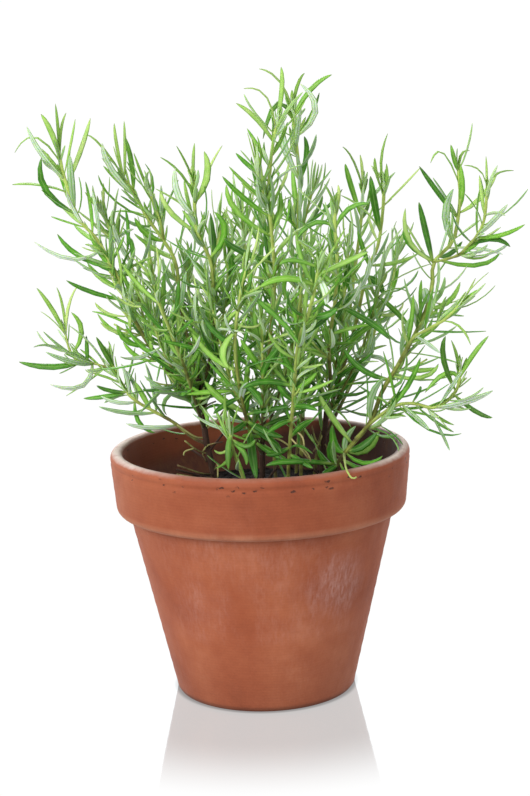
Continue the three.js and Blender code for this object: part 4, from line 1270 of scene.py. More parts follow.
def leaf_line(leaf):
    """The middle line of a leaf: its points, and the directions along it and up out of it. It
    leaves the stem at an angle, bends, sways sideways and turns a little towards the light."""
    line = []
    point = leaf["foot"].copy()
    for i in range(LEAF_STEPS + 1):
        part = i / LEAF_STEPS
        angle = math.radians(leaf["angle"] + leaf["bend"] * part)
        on = leaf["along"] * math.cos(angle) + leaf["out"] * math.sin(angle)
        on += np.cross(leaf["along"], leaf["out"]) * leaf["sway"] * (1.6 * part - 0.5)
        on[2] += LIGHT_SEEKING * part
        on = unit(on)
        up = leaf["along"] * math.sin(angle) - leaf["out"] * math.cos(angle)
        up = turned_about(unit(up - on * up.dot(on)), on, leaf["roll"] + leaf["twist"] * part)
        line.append((point.copy(), on, up))
        point += on * leaf["length"] / LEAF_STEPS
    return line


def placed_leaf(line, distance, azimuth, **leaf):
    """A leaf that grows from a stem's line at a distance, on the side that the azimuth gives."""
    along = line.along(distance)
    first, second = across(along)
    a = math.radians(azimuth)
    out = first * math.cos(a) + second * math.sin(a)
    leaf.update(foot=line.point(distance), distance=distance, along=along, out=out)
    leaf["line"] = leaf_line(leaf)
    return leaf


def outline_line(shoot, mark):
    """The middle line of a listed leaf: an arc from its stem to its tip. A broad leaf turns its
    face or its back to the front, and a narrow one looks up."""
    distance, halfway, tip, width, *kind = mark
    foot = shoot["line"].point(min(distance, shoot["line"].length))
    halfway, tip = np.array(halfway, float), np.array(tip, float)
    bow = 2 * halfway - (foot + tip) / 2
    facing = np.array([0, 1 if UNDERSIDE in kind else -1, 0.6 if width > BROAD_LEAF else 2.5])
    line = []
    for i in range(LEAF_STEPS + 1):
        t = i / LEAF_STEPS
        point = foot * (1 - t) ** 2 + bow * 2 * t * (1 - t) + tip * t * t
        on = unit((bow - foot) * (1 - t) + (tip - bow) * t)
        line.append((point, on, unit(facing - on * facing.dot(on))))
    return line


print("steps along a leaf:", LEAF_STEPS)

# %% Leaves by the rule
LEAF_LENGTH = 26
LEAF_WIDTH = 2.65
LAST_LEAF = 0.75


def leaf_by_rule(shoot, pair, side):
    """A leaf of the shoot. Those on the second side, and those deep in the plant, are wilder:
    they stray, arch, roll and twist more, and are longer and narrower."""
    number, leaf = shoot["number"], pair * 2 + side
    distance = pair_distance(shoot, pair)
    young, depth = youth_at(shoot, distance), depth_of(shoot, distance)
    wild = shoot.get("wild", side * 0.9 * depth)
    arch = (30 + 30 * wild + 20 * side) * scatter(number, leaf, 13)
    stray = (20 + 40 * wild) * scatter(number, leaf, 1)
    hooked = 55 if scatter(number, leaf, 7) > 0.8 else 0
    last = LAST_LEAF if pair == pairs_on(shoot) - 1 else 1
    return placed_leaf(
        shoot["line"], distance, shoot["turn"] + 90 * pair + 180 * side + stray,
        length=LEAF_LENGTH * (1 + 0.24 * scatter(number, leaf, 2))
        * (1 - 0.14 * young) * last * (1 + 0.16 * wild),
        width=LEAF_WIDTH * (1 + 0.24 * scatter(number, leaf, 3))
        * (1 - 0.42 * young) * (1 - 0.22 * depth),
        angle=50 + (13 + 22 * wild) * scatter(number, leaf, 4) - 26 * young + 8 * wild - arch / 2,
        bend=-10 - 16 * side + arch + (30 + 20 * wild) * scatter(number, leaf, 5) + hooked,
        roll=(38 + 60 * wild) * scatter(number, leaf, 6),
        sway=(0.3 + 0.6 * wild) * scatter(number, leaf, 10),
        twist=(45 + 50 * wild) * scatter(number, leaf, 11),
        tone=scatter(number, leaf, 8), young=young, depth=depth,
    )


one_leaf = leaf_by_rule(SHOOTS[0], 5, 0)
print("a leaf by the rule:", round(one_leaf["length"], 1), "by", round(one_leaf["width"], 1), "mm")

# %% [markdown]
# The listed leaves come first. The rule then fills in, and leaves out a leaf that would stand
# where a listed one does. A real plant has lost leaves too: more from an outer twig than from the
# thicket, and all of them low down, where no light comes.

# %% All the leaves of a shoot
BARE_BELOW = 146
INNER_THIN_BELOW = 178


def listed_leaves(shoot):
    """The leaves of a shoot that are listed in the tables."""
    leaves = []
    for i, mark in enumerate(shoot.get("outline", []) + shoot["more"]):
        young = youth_at(shoot, mark[0]) * (0.35 if mark[3] > BROAD_LEAF else 1)
        tone = scatter(shoot["number"], 900 + i, 8)
        tone = {DEEP: -0.6 + 0.25 * tone, BRIGHT: 0.1 + 0.15 * tone}.get(mark[-1], tone)
        line = outline_line(shoot, mark)
        leaves.append(
            dict(distance=mark[0], line=line, width=mark[3], young=young, tone=tone, depth=0)
        )
    return leaves


def has_fallen(shoot, pair, side, leaf):
    """Whether a leaf of the rule has fallen off. Only those on the second side do, and those in
    the foot of the thicket."""
    number, index = shoot["number"], pair * 2 + side
    kept = (0.47 + 0.9 * leaf["depth"]) * (1 - shoot.get("sparse", 0))
    height = leaf["foot"][2]
    if side == 1 and height < BARE_BELOW:
        return True
    if side == 1 and pair < pairs_on(shoot) - 3 and scatter(number, index, 12) > kept:
        return True
    return "wild" in shoot and height < INNER_THIN_BELOW and scatter(number, index, 14) > 0.3


def leaves_of(shoot):
    """Every leaf of a shoot: the listed ones, and those of the rule that aren't in their place."""
    listed = listed_leaves(shoot)
    leaves = list(listed)
    for pair in range(pairs_on(shoot)):
        for side in (0, 1):
            leaf = leaf_by_rule(shoot, pair, side)
            taken = any(
                abs(mark["distance"] - leaf["distance"]) < LEAF_PITCH
                and np.linalg.norm(mark["line"][-1][0] - leaf["line"][-1][0]) < 2 * LEAF_PITCH
                for mark in listed
            )
            if not taken and not has_fallen(shoot, pair, side, leaf):
                leaves.append(leaf)
    return leaves


print("leaves on the first shoot:", len(leaves_of(SHOOTS[0])))

# %% [markdown]
# In the angle between a leaf and its stem grows a side shoot. Near the tips it is only a tuft of
# small leaves. Deep in the plant it has had years to grow, and its leaves are long and cross those
# of the next shoot. This is what makes a rosemary bush so thick. Round each bud stand a few more
# young leaves, almost upright, which give a shoot its pointed tip.

# %% Side shoots
TUFT_SHARE = 0.35
TUFT_LEAVES = 4


def side_shoot(number, index, leaf):
    """One side shoot: its line, and its leaves in crossed pairs."""
    depth = leaf["depth"]
    axis = unit(leaf["along"] + (0.55 + 0.5 * depth) * leaf["out"])
    length = 3 + depth * (11 + 8 * scatter(number, index, 15))
    foot, tip = leaf["foot"], leaf["foot"] + axis * length
    line = StemLine([foot, foot + axis * length * 0.55, tip + np.array([0, 0, 0.125 * length])])
    leaves = [
        placed_leaf(
            line, min(length, 1.2 + (1.4 + 5 * depth) * (i // 2)),
            180 * i + 90 * (i // 2) + 40 * scatter(number, index, 20 + i),
            length=(13 + 11 * depth) * (1 + 0.36 * scatter(number, index, 30 + i)),
            width=(1.8 + 0.5 * depth) * (1 + 0.26 * scatter(number, index, 70 + i)),
            angle=26 + 24 * depth + (12 + 14 * depth) * scatter(number, index, 40 + i),
            bend=(22 + 40 * depth) * scatter(number, index, 50 + i),
            roll=(30 + 50 * depth) * scatter(number, index, 60 + i),
            sway=0.8 * scatter(number, index, 90 + i),
            twist=50 * scatter(number, index, 100 + i),
            tone=scatter(number, index, 80 + i), young=0.7 * (1 - depth), depth=depth,
        )
        for i in range(TUFT_LEAVES)
    ]
    return line, leaves


def side_shoots(shoot):
    """The stems and leaves that grow in the angles between a shoot's leaves and its stem."""
    number = shoot["number"]
    stems, leaves = [], []
    for index in range((pairs_on(shoot) - 3) * 2):
        leaf = leaf_by_rule(shoot, index // 2, index % 2)
        least = TUFT_SHARE + shoot.get("sparse", 0) - 0.45 * leaf["depth"]
        if leaf["foot"][2] > BARE_BELOW and scatter(number, index, 9) > least:
            side_stem, side_leaves = side_shoot(number, index, leaf)
            stems.append(side_stem)
            leaves += side_leaves
    return stems, leaves


print("side shoots on the first shoot:", len(side_shoots(SHOOTS[0])[0]))

# %% Growing tips
TIP_LEAVES = 6
TIP_PITCH, ABOVE_LAST_PAIR = 2.3, 0.8
TIP_DRAWS = 300


def growing_tip(shoot):
    """The young leaves that stand close together round a shoot's bud, in pairs from its tip."""
    leaves = []
    for i in range(shoot.get("tip_leaves", TIP_LEAVES)):
        pair = i // 2
        draw = [scatter(shoot["number"], TIP_DRAWS + i, use) for use in range(10)]
        leaves.append(
            placed_leaf(
                shoot["line"], shoot["line"].length - ABOVE_LAST_PAIR - TIP_PITCH * pair,
                shoot["turn"] + 45 + 180 * i + 90 * pair + 30 * draw[1],
                length=(8 + 1.5 * pair) * (1 + 0.3 * draw[2]), width=1.7 * (1 + 0.2 * draw[3]),
                angle=6 + 6 * pair + 8 * draw[4], bend=18 * draw[5], roll=40 * draw[6],
                sway=0.5 * draw[7], twist=50 * draw[8], tone=draw[9], young=0.85 - 0.1 * pair,
                depth=0,
            )
        )
    return leaves


print("young leaves round the first bud:", len(growing_tip(SHOOTS[0])))

# %% [markdown]
# ## Growing the shoots
#
# Each leaf is a copy of the pattern, bent on to its line. It carries three numbers for its
# colour: its tone, its youth, and how deep in the plant it grows. Low leaves get a darker tone:
# they are older, and the shade low in the bush is painted in as well. The stem is laid first, with
# a small swelling at each pair of leaves. The copies keep their own meshes until they are joined,
# so no leaf is linked to the pattern.

# %% A grown leaf and a grown stem
LEAF_THICKNESS = 1.0
LOW_LEAVES, LOW_LEAVES_FADE, LOW_AGE_AND_SHADE_TONE = 185, 35, 0.18
STEM_SLIMNESS = 0.68
SWELLING, SWELLING_REACH = 0.16, 1.6


def grown_leaf(leaf):
    """A copy of the leaf pattern, bent on to a leaf's line, with its own tone for the colour."""
    places, ons, ups = (np.array([step[k] for step in leaf["line"]]) for k in range(3))
    edges = np.cross(ons, ups)
    steps = np.linspace(0, 1, len(leaf["line"]))

    def at(rows):
        return np.stack([np.interp(leaf_shape[:, 1], steps, rows[:, k]) for k in range(3)], axis=1)

    thick = LEAF_THICKNESS * min(1.0, 0.45 + leaf["width"] / 5)
    points = at(places) + at(edges) * (leaf_shape[:, :1] * leaf["width"])
    points += at(ups) * (leaf_shape[:, 2:] * thick)
    grown = copy_of(leaf_pattern, points * MM, "leaf")
    # low leaves are darker: they are older, and painted shade low in the bush darkens them too
    low = min(1, max(0, (LOW_LEAVES - leaf["line"][0][0][2]) / LOW_LEAVES_FADE))
    tone = 0.5 + 0.5 * leaf["tone"] - LOW_AGE_AND_SHADE_TONE * low
    tones = np.tile([tone, leaf["young"], leaf["depth"], 1.0], len(points))
    grown.data.color_attributes["leaf_tone"].data.foreach_set("color", tones)
    return grown


def shoot_thickness(shoot):
    """The radius along a green stem: slimmer than the solid's at its foot, tapering, with a
    swelling at each pair of leaves and a closed tip."""
    length = shoot["line"].length
    taper = tapering(STEM_SLIMNESS * shoot["radius"][0], shoot["radius"][1], shoot["line"])
    joints = [pair_distance(shoot, pair) for pair in range(pairs_on(shoot))]

    def radius(distance):
        nearest = min(abs(distance - joint) for joint in joints)
        swelling = SWELLING * math.exp(-((nearest / SWELLING_REACH) ** 2))
        close = 0.5 if distance > length - 0.01 else 1
        return (taper(distance) + swelling) * close

    return radius


# %% Grow every shoot
PARENTS = {shoot["name"]: shoot for shoot in SHOOTS}
BRANCH_YOUTH, SIDE_STEM_YOUTH = 0.4, 0.5
SIDE_STEM_RADIUS, SHORTEST_SIDE_STEM = 0.5, 5


def node_of(shoot):
    """The solid node that a shoot or branch belongs to."""
    while shoot["grows_from"] in PARENTS:
        shoot = PARENTS[shoot["grows_from"]]
    return "inner_shoots" if "wild" in shoot else shoot["name"]


members = {}
leaf_count = 0
for shoot in SHOOTS + INNER_SHOOTS:
    parts = members.setdefault(node_of(shoot), [])
    youth = BRANCH_YOUTH if shoot["name"].startswith("branch") else 0.0
    line, thickness = shoot["line"], shoot_thickness(shoot)
    parts.append(laid_along(green_rod, line, thickness, "stem", shoot["turn"], youth))
    side_stems, side_leaves = side_shoots(shoot)
    for line in side_stems:
        if line.length > SHORTEST_SIDE_STEM:
            thin = even(SIDE_STEM_RADIUS)
            parts.append(laid_along(twig_rod, line, thin, "stem", youth=SIDE_STEM_YOUTH))
    for leaf in leaves_of(shoot) + side_leaves + growing_tip(shoot):
        parts.append(grown_leaf(leaf))
        leaf_count += 1
print("leaves grown:", leaf_count)

# %% [markdown]
# ## Leaf surfaces
#
# A rosemary leaf has two faces. The upper one is green under a thin wax, and finely wrinkled. A
# pale line of painted sheen runs down its groove, its foot is yellow-green, its rolled edge is
# painted darker as shade, and its point is dry and brownish. Light sinks a millimetre into it and
# comes out greener, which makes a leaf look alive and not painted. Both faces read the leaf's own
# UV map, across it and along it, and the three numbers that each leaf was given. One picture for
# all the leaves would repeat, but a recipe of nodes gives every leaf its own look.

# %% What both faces of a leaf share
LEAF_CLOUD = repeats(5)
LIGHT_SPREAD = (0.7, 1.0, 0.25)  # how far red, green and blue light travel in a leaf
LEAF_FOOT = ("along", 0.02, 0.2, 0.75, 0, "#a9c364")


def leaf_surface(name, **surface):
    """A leaf material's start: its surface, and what its patterns read. aside and along are
    shares of the leaf's width and length, and cloud is soft and uneven."""
    material, tree, shader = new_material(name, Subsurface_Radius=LIGHT_SPREAD, **surface)
    place = add_node(tree, "TexCoord")
    split = add_node(tree, "SeparateXYZ", place.outputs["UV"])
    aside = add_node(tree, "Math", split.outputs["X"], 0.5, operation="SUBTRACT")
    aside = add_node(tree, "Math", aside, operation="ABSOLUTE")
    tones = add_node(tree, "Attribute", attribute_name="leaf_tone")
    tones = add_node(tree, "SeparateColor", tones).outputs
    cloud = add_node(tree, "TexNoise", place.outputs["Object"], LEAF_CLOUD, 3)
    read = dict(place=place.outputs["Object"], along=split.outputs["Y"], aside=aside, cloud=cloud)
    read.update(tone=tones["Red"], youth=tones["Green"], depth=tones["Blue"])
    return material, tree, shader, read


def painted(tree, read, colour, *layers):
    """A colour with layers painted over it. A layer says what it reads, where it begins and
    ends, how strong it is at both, and its colour."""
    for name, start, end, first, last, paint in layers:
        share = add_node(tree, "MapRange", read[name], start, end, first, last)
        colour = add_node(tree, "Mix", share, colour, paint, **COLOURS)
    return colour


print("one lump of a leaf's cloud:", 1 / LEAF_CLOUD / MM, "mm")

# %% Waxy upper face
LEAF_WRINKLE = repeats(0.7)
leaf_face, tree, shader, read = leaf_surface(
    "waxy upper face of a rosemary leaf",
    Subsurface_Weight=0.3, Subsurface_Scale=1.2 * MM, Specular_IOR_Level=0.14,
)
uneven = add_node(tree, "MapRange", read["cloud"], 0.3, 0.7, -0.12, 0.12)
tone = add_node(tree, "Math", read["tone"], uneven, operation="ADD")
GROWN_GREENS = [
    (0.0, "#33671a"), (0.3, "#529629"), (0.6, "#7bb63b"), (0.82, "#9dc662"), (1.0, "#bcd480"),
]
grown = add_node(tree, "ValToRGB", tone, stops=GROWN_GREENS)
young = add_node(tree, "ValToRGB", tone, stops=[(0.0, "#84aa44"), (1.0, "#bfd080")])
freshness = add_node(tree, "Math", read["youth"], 0.7, **TIMES)
colour = add_node(tree, "Mix", freshness, grown, young, **COLOURS)
# the groove's painted sheen is pale on a bright leaf and hardly shows on a dark one
groove_sheen = add_node(tree, "MapRange", read["aside"], 0.04, 0.12, 0.42, 0)
lit = add_node(tree, "MapRange", read["tone"], 0, 0.7, 0.3, 1)
groove_sheen = add_node(tree, "Math", groove_sheen, lit, **TIMES)
colour = add_node(tree, "Mix", groove_sheen, colour, "#b4d47c", **COLOURS)
dry_point = ("along", 0.93, 1, 0, 0.7, "#6f7348")
# painted shade on the rolled edge
rolled_edge_shade = ("aside", 0.22, 0.46, 0, 0.4, "#4a7f2c")
colour = painted(tree, read, colour, LEAF_FOOT, dry_point, rolled_edge_shade)
wax = add_node(tree, "MapRange", read["cloud"], 0.35, 0.65, 0.28, 0.45)
wrinkle = add_node(tree, "TexNoise", read["place"], LEAF_WRINKLE, 2)
bump = add_node(tree, "Bump", Height=wrinkle, Strength=0.15, Distance=0.12 * MM)
plug(tree, shader, Base_Color=colour, Roughness=wax, Normal=bump)
print("upper face:", len(tree.nodes), "nodes")

# %% [markdown]
# The back of a leaf is grey-white felt in two strips, and its rib and its rolled edges stay
# green. The felt is a mat of tiny hairs, so it is matt and has a soft sheen at its edges. The
# hairs are far too fine to show. They are drawn half a millimetre wide, about ten times as coarse
# as they are, so that the felt still breaks the light. Leaves deep in the plant have lost much of
# their felt.

# %% Felted back
FELT_GRAIN = repeats(0.5)
leaf_back, tree, shader, read = leaf_surface(
    "felted back of a rosemary leaf",
    Sheen_Weight=0.15, Sheen_Roughness=0.4, Specular_IOR_Level=0.08,
    Subsurface_Weight=0.45, Subsurface_Scale=1.4 * MM,
)
FELT_GREYS = [(0.0, "#a6bd98"), (0.5, "#c6d6c4"), (1.0, "#e6eee8")]
felt = add_node(tree, "ValToRGB", read["tone"], stops=FELT_GREYS)
green = add_node(tree, "ValToRGB", read["tone"], stops=[(0.0, "#5c9a30"), (1.0, "#8fbe56")])
RIB_TO_EDGE = [(0.03, 0.15), (0.09, 0.85), (0.33, 0.9), (0.44, 0.0)]
strip = add_node(tree, "ValToRGB", read["aside"], stops=RIB_TO_EDGE)
colour = add_node(tree, "Mix", strip, green, felt, **COLOURS)
thin = add_node(tree, "Math", read["depth"], 0.62, **TIMES)
colour = add_node(tree, "Mix", thin, colour, green, **COLOURS)
fresh = add_node(tree, "Math", read["youth"], 0.55, **TIMES)
colour = add_node(tree, "Mix", fresh, colour, "#9dc25c", **COLOURS)
colour = painted(tree, read, colour, LEAF_FOOT)
lightness_change = add_node(tree, "MapRange", read["cloud"], 0.3, 0.7, 0.88, 1.08)
colour = add_node(tree, "Mix", 1, colour, lightness_change, **SHADES)
rough = add_node(tree, "MapRange", read["cloud"], 0, 1, 0.7, 0.95)
hair = add_node(tree, "TexNoise", read["place"], FELT_GRAIN, 2)
bump = add_node(tree, "Bump", Height=hair, Strength=0.5, Distance=0.1 * MM)
plug(tree, shader, Base_Color=colour, Roughness=rough, Normal=bump)
print("felted back:", len(tree.nodes), "nodes")

# %% [markdown]
# ## Young stems
#
# A young rosemary stem is square with soft corners, downy, and yellow-green at its tip. It turns
# olive and then brown towards its foot, where it becomes wood. The UV map runs up the stem, so
# its share of the height sets the age, and four waves round it draw the ridges.

# %% Downy young stems
STEM_CLOUD = repeats(6)
STEM_RIDGES = 4
green_stem, tree, shader = new_material(
    "downy young rosemary stem", Sheen_Weight=0.12, Specular_IOR_Level=0.12
)
place = add_node(tree, "TexCoord")
split = add_node(tree, "SeparateXYZ", place.outputs["UV"])
cloud = add_node(tree, "TexNoise", place.outputs["Object"], STEM_CLOUD, 4)
uneven = add_node(tree, "MapRange", cloud, 0.3, 0.7, -0.2, 0.2)
age = add_node(tree, "Math", split.outputs["Y"], uneven, operation="ADD")
BROWN_TO_GREEN = [
    (0.0, "#4a3b27"), (0.22, "#62602f"), (0.38, "#83893f"), (0.6, "#a1b159"), (1.0, "#b8cf6c"),
]
colour = add_node(tree, "ValToRGB", age, stops=BROWN_TO_GREEN)
ridges = add_node(tree, "Math", split.outputs["X"], 2 * math.pi * STEM_RIDGES, **TIMES)
ridges = add_node(tree, "Math", ridges, operation="SINE")
# the grooves between the ridges are painted darker, as their shade, besides the bump
shade = add_node(tree, "MapRange", ridges, -1, 1, 0.84, 1.06)
colour = add_node(tree, "Mix", 1, colour, shade, **SHADES)
rough = add_node(tree, "MapRange", cloud, 0, 1, 0.45, 0.75)
bump = add_node(tree, "Bump", Height=ridges, Strength=0.4, Distance=0.1 * MM)
plug(tree, shader, Base_Color=colour, Roughness=rough, Normal=bump)
print("young stem:", len(tree.nodes), "nodes")

# %% [markdown]
# ## Terracotta
#
# Terracotta is iron-rich clay, turned and fired without a glaze. It is matt, orange-brown and never
# even: the kiln leaves soft clouds a few centimetres wide, and the clay's grit a grain of about a
# millimetre. One even orange would look like plastic. Shade is painted into the clay's colour as
# well: it is darker towards the foot, darkest in a thin ring at the very bottom, and a little
# darker just under the band, as the band's shadow.

# %% Fired clay
KILN_CLOUD = repeats(45)
CLAY_GRAIN = repeats(1.1)
FIRED = [(0.3, "#884329"), (0.44, "#974e31"), (0.58, "#a2593a"), (0.72, "#b06848")]
# painted shade by height: darker towards the floor, darkest at the foot, and darker just under the
# band
SHADE_HEIGHT = 100
PAINTED_SHADE_BY_HEIGHT = [  # how bright the clay is, by its share of the tint's height
    (0.0, 0.3), (0.018, 0.52), (0.03, 0.79), (0.2, 0.88), (0.45, 1.0), (0.85, 1.0), (1.0, 0.92),
]
clay, tree, shader = new_material(
    "turned and fired terracotta", Specular_IOR_Level=0.25, Sheen_Weight=0.03, Sheen_Roughness=0.5
)
place = add_node(tree, "TexCoord").outputs["Object"]
at = add_node(tree, "SeparateXYZ", place).outputs
flat = add_node(tree, "CombineXYZ", at["X"], at["Y"])
reach = add_node(tree, "VectorMath", flat, operation="LENGTH")
cloud = add_node(tree, "TexNoise", place, KILN_CLOUD, 6, 0.6)
colour = add_node(tree, "ValToRGB", cloud, stops=FIRED)
grain = add_node(tree, "TexNoise", place, CLAY_GRAIN, 3)
speck = add_node(tree, "MapRange", grain, 0.25, 0.75, 0.95, 1.05)
colour = add_node(tree, "Mix", 1, colour, speck, **SHADES)
# the painted shade by height is multiplied into the clay's colour
upward = add_node(tree, "MapRange", at["Z"], 0, SHADE_HEIGHT * MM)
height_shade = add_node(tree, "ValToRGB", upward, stops=PAINTED_SHADE_BY_HEIGHT)
colour = add_node(tree, "Mix", 1, colour, height_shade, **SHADES)
print("fired clay:", len(tree.nodes), "nodes")

# %% [markdown]
# Hard water seeps through the wall and dries to a pale bloom, in upright streaks and in two marks
# where the pot was splashed. Hands and cloths have scratched it, so it is broken into fine lines.
# It ends at a wavy tide line above the foot, and there is less of it on the band, where the pot is
# held. Painted white on top it would look like paint, so every part of it is mixed in by a share.

# %% Bloom, tide line and water marks
BLOOM_STREAK, BLOOM_PATCH, SCRATCH = repeats(9), repeats(50), repeats(1.4)
UPRIGHT = (1, 1, 0.22)
TIDE_START, TIDE_END, TIDE_WAVE = 31, 36, 12
WATER_MARKS = [((38, -52, 70), 36, 0.34), ((-32, -50, 58), 34, 0.09)]  # place, reach, strength

stretched = add_node(tree, "Mapping", place, Scale=UPRIGHT)
streaks = add_node(tree, "TexNoise", stretched, BLOOM_STREAK, 7, 0.7)
patches = add_node(tree, "TexNoise", place, BLOOM_PATCH, 2)
bloom = add_node(tree, "Math", streaks, patches, **TIMES)
bloom = add_node(tree, "MapRange", bloom, 0.2, 0.45, 0, 0.2)
fine = add_node(tree, "TexNoise", stretched, SCRATCH, 4, 0.65)
scratchy = add_node(tree, "MapRange", fine, 0.35, 0.65, 0.3, 1.7)
wavy = add_node(tree, "Math", patches, -TIDE_WAVE * MM, at["Z"], **TIMES_PLUS)
tide = add_node(tree, "MapRange", wavy, TIDE_START * MM, TIDE_END * MM, 0.25, 1)
band_start, band_full = (BAND_FOOT - 4) * MM, (BAND_FOOT + 2) * MM
handled = add_node(tree, "MapRange", at["Z"], band_start, band_full, 1, 0.3)
for share in (scratchy, tide, handled):
    bloom = add_node(tree, "Math", bloom, share, **TIMES)
colour = add_node(tree, "Mix", bloom, colour, "#c39080", **COLOURS)
for spot, spread, strength in WATER_MARKS:
    centre = [v * MM for v in spot]
    away = add_node(tree, "VectorMath", place, centre, operation="DISTANCE")
    near = add_node(tree, "MapRange", away, 0, spread * MM, 1, 0, **SMOOTH)
    mark = add_node(tree, "Math", near, streaks, **TIMES)
    mark = add_node(tree, "MapRange", mark, 0.15, 0.6, 0, strength)
    mark = add_node(tree, "Math", mark, scratchy, **TIMES)
    colour = add_node(tree, "Mix", mark, colour, "#c99f97", **COLOURS)
print("with bloom:", len(tree.nodes), "nodes")

# %% [markdown]
# The lip's top is pale. Part of this is dry chalky bloom, and part is a painted sheen where the lip
# is seen at a glancing angle, so it is strongest at the sides and the back and faint at the front.
# The lower edge of the band has a pale painted highlight, where its rounded corner catches the
# light. Fine rings from the wheel run round the whole pot, 1.6 mm apart, and wander a little.

# %% Chalky lip with painted sheen, painted edge highlight and wheel rings
CHALK_AND_SHEEN_DEPTH = 2.4
FAINT_AT_FRONT, STRONG_AT_BACK = -68, -40
BAND_EDGE_HIGHLIGHT = (3.2, 0.4)  # above the band's foot
OUTSIDE = (73.8, 75.2)
RING_PITCH = 1.6
RING_WANDER = 9  # radians

# the lip's pale top: chalky bloom, and a painted sheen that is strongest away from the front
top = add_node(tree, "MapRange", at["Z"], (POT_HEIGHT - CHALK_AND_SHEEN_DEPTH) * MM, POT_HEIGHT * MM)
chalk_and_sheen = add_node(tree, "Math", top, streaks, **TIMES)
chalk_and_sheen = add_node(tree, "MapRange", chalk_and_sheen, 0.15, 0.55, 0, 0.95)
away_from_front = add_node(tree, "MapRange", at["Y"], FAINT_AT_FRONT * MM, STRONG_AT_BACK * MM, 0.12, 1)
chalk_and_sheen = add_node(tree, "Math", chalk_and_sheen, away_from_front, **TIMES)
colour = add_node(tree, "Mix", chalk_and_sheen, colour, "#dccbc2", **COLOURS)
# a painted highlight along the band's rounded lower edge, broken by the streaks
edge_top, edge_low = ((BAND_FOOT + v) * MM for v in BAND_EDGE_HIGHLIGHT)
lightness_change = add_node(tree, "MapRange", at["Z"], edge_top, edge_low, 0, 0.5)
outside = add_node(tree, "MapRange", reach, *(v * MM for v in OUTSIDE))
for share in (outside, streaks):
    lightness_change = add_node(tree, "Math", lightness_change, share, **TIMES)
colour = add_node(tree, "Mix", lightness_change, colour, "#d59a78", **COLOURS)
ring = add_node(tree, "Math", at["Z"], 2 * math.pi / (RING_PITCH * MM), **TIMES)
wander = add_node(tree, "Math", patches, RING_WANDER, **TIMES)
ring = add_node(tree, "Math", ring, wander, operation="ADD")
ring = add_node(tree, "Math", ring, operation="SINE")
# the rings are also painted as faint bands of light and shade, besides their bump
shade = add_node(tree, "MapRange", ring, -1, 1, 0.985, 1.015)
colour = add_node(tree, "Mix", 1, colour, shade, **SHADES)
print("with lip and rings:", len(tree.nodes), "nodes")

# %% [markdown]
# Bits of grit burn out in the kiln and leave pits, in swarms below the lip. They are dents in the
# bump only, so the shade inside them is painted dark. A Voronoi pattern scatters round cells. Here
# its places are pushed about by a noise, so that the pits are ragged, and squashed, so that they
# are wider than high. Each cell's own random colour says whether it is a pit, and how large.

# %% Pits left by grit
PIT_SPACING, PIT_SWARM = repeats(3.2), repeats(22)
PIT_RAGGED, PIT_RAGGED_SIZE = repeats(1.6), 2.2
PIT_SHAPE = (0.55, 0.55, 1.4)
PIT_ZONE_FOOT, PIT_ZONE_TOP = (123.5, 125.5), (130.6, 129.8)

ragged = add_node(tree, "TexNoise", place, PIT_RAGGED, 2).outputs["Color"]
pushed = add_node(tree, "VectorMath", ragged, [PIT_RAGGED_SIZE * MM] * 3, place, **TIMES_PLUS)
squashed = add_node(tree, "Mapping", pushed, Scale=PIT_SHAPE)
cells = add_node(tree, "TexVoronoi", squashed, PIT_SPACING)
lot = add_node(tree, "SeparateColor", cells.outputs["Color"]).outputs
size = add_node(tree, "Math", lot["Green"], -0.2, cells, **TIMES_PLUS)
pits = add_node(tree, "MapRange", size, 0.03, 0.13, 0.9, 0)
swarm = add_node(tree, "TexNoise", place, PIT_SWARM, 1)
rare = add_node(tree, "MapRange", swarm, 0.38, 0.56, 0.88, 0.2)
few = add_node(tree, "Math", lot["Red"], rare, operation="GREATER_THAN")
above = add_node(tree, "MapRange", at["Z"], *(v * MM for v in PIT_ZONE_FOOT))
below = add_node(tree, "MapRange", at["Z"], *(v * MM for v in PIT_ZONE_TOP))
zone = add_node(tree, "Math", above, below, **TIMES)
for share in (few, zone):
    pits = add_node(tree, "Math", pits, share, **TIMES)
# painted shade inside the pits
colour = add_node(tree, "Mix", pits, colour, "#3a2018", **COLOURS)
print("with pits:", len(tree.nodes), "nodes")

# %% [markdown]
# The inside is much darker: it stays damp from the soil, greenish brown where moss starts, and the
# deep shade inside the pot is painted in as well. A point is inside if it is closer to the pot's
# axis than the middle of the wall. The dark climbs to a slanting, uneven line below the lip, and
# the right side is painted darker still.

# %% Damp and shaded inside, roughness and relief
MID_WALL = WALL / 2
BAND_STEP = 8
WALL_BLUR = (-1.2, 0.6)  # where the outside turns to the inside
DARK_INSIDE_LINE = (112, 124)
DARK_INSIDE_SLANT, DARK_INSIDE_RAGGED = 0.16, 12
DARKER_SIDE = (-40, 20)
DAMP_AND_SHADE_COLOURS = [(0.3, "#3c1f18"), (0.5, "#522c20"), (0.75, "#71492f")]

foot, under_band = (BASE_RADIUS - MID_WALL) * MM, (BODY_RADIUS_UNDER_BAND - MID_WALL) * MM
wall = add_node(tree, "MapRange", at["Z"], 0, (BAND_FOOT - MID_WALL) * MM, foot, under_band)
band_start, band_full = (BAND_FOOT - 2) * MM, (BAND_FOOT + 4) * MM
band = add_node(tree, "MapRange", at["Z"], band_start, band_full, 0, BAND_STEP * MM)
middle = add_node(tree, "Math", wall, band, operation="ADD")
inward = add_node(tree, "Math", middle, reach, operation="SUBTRACT")
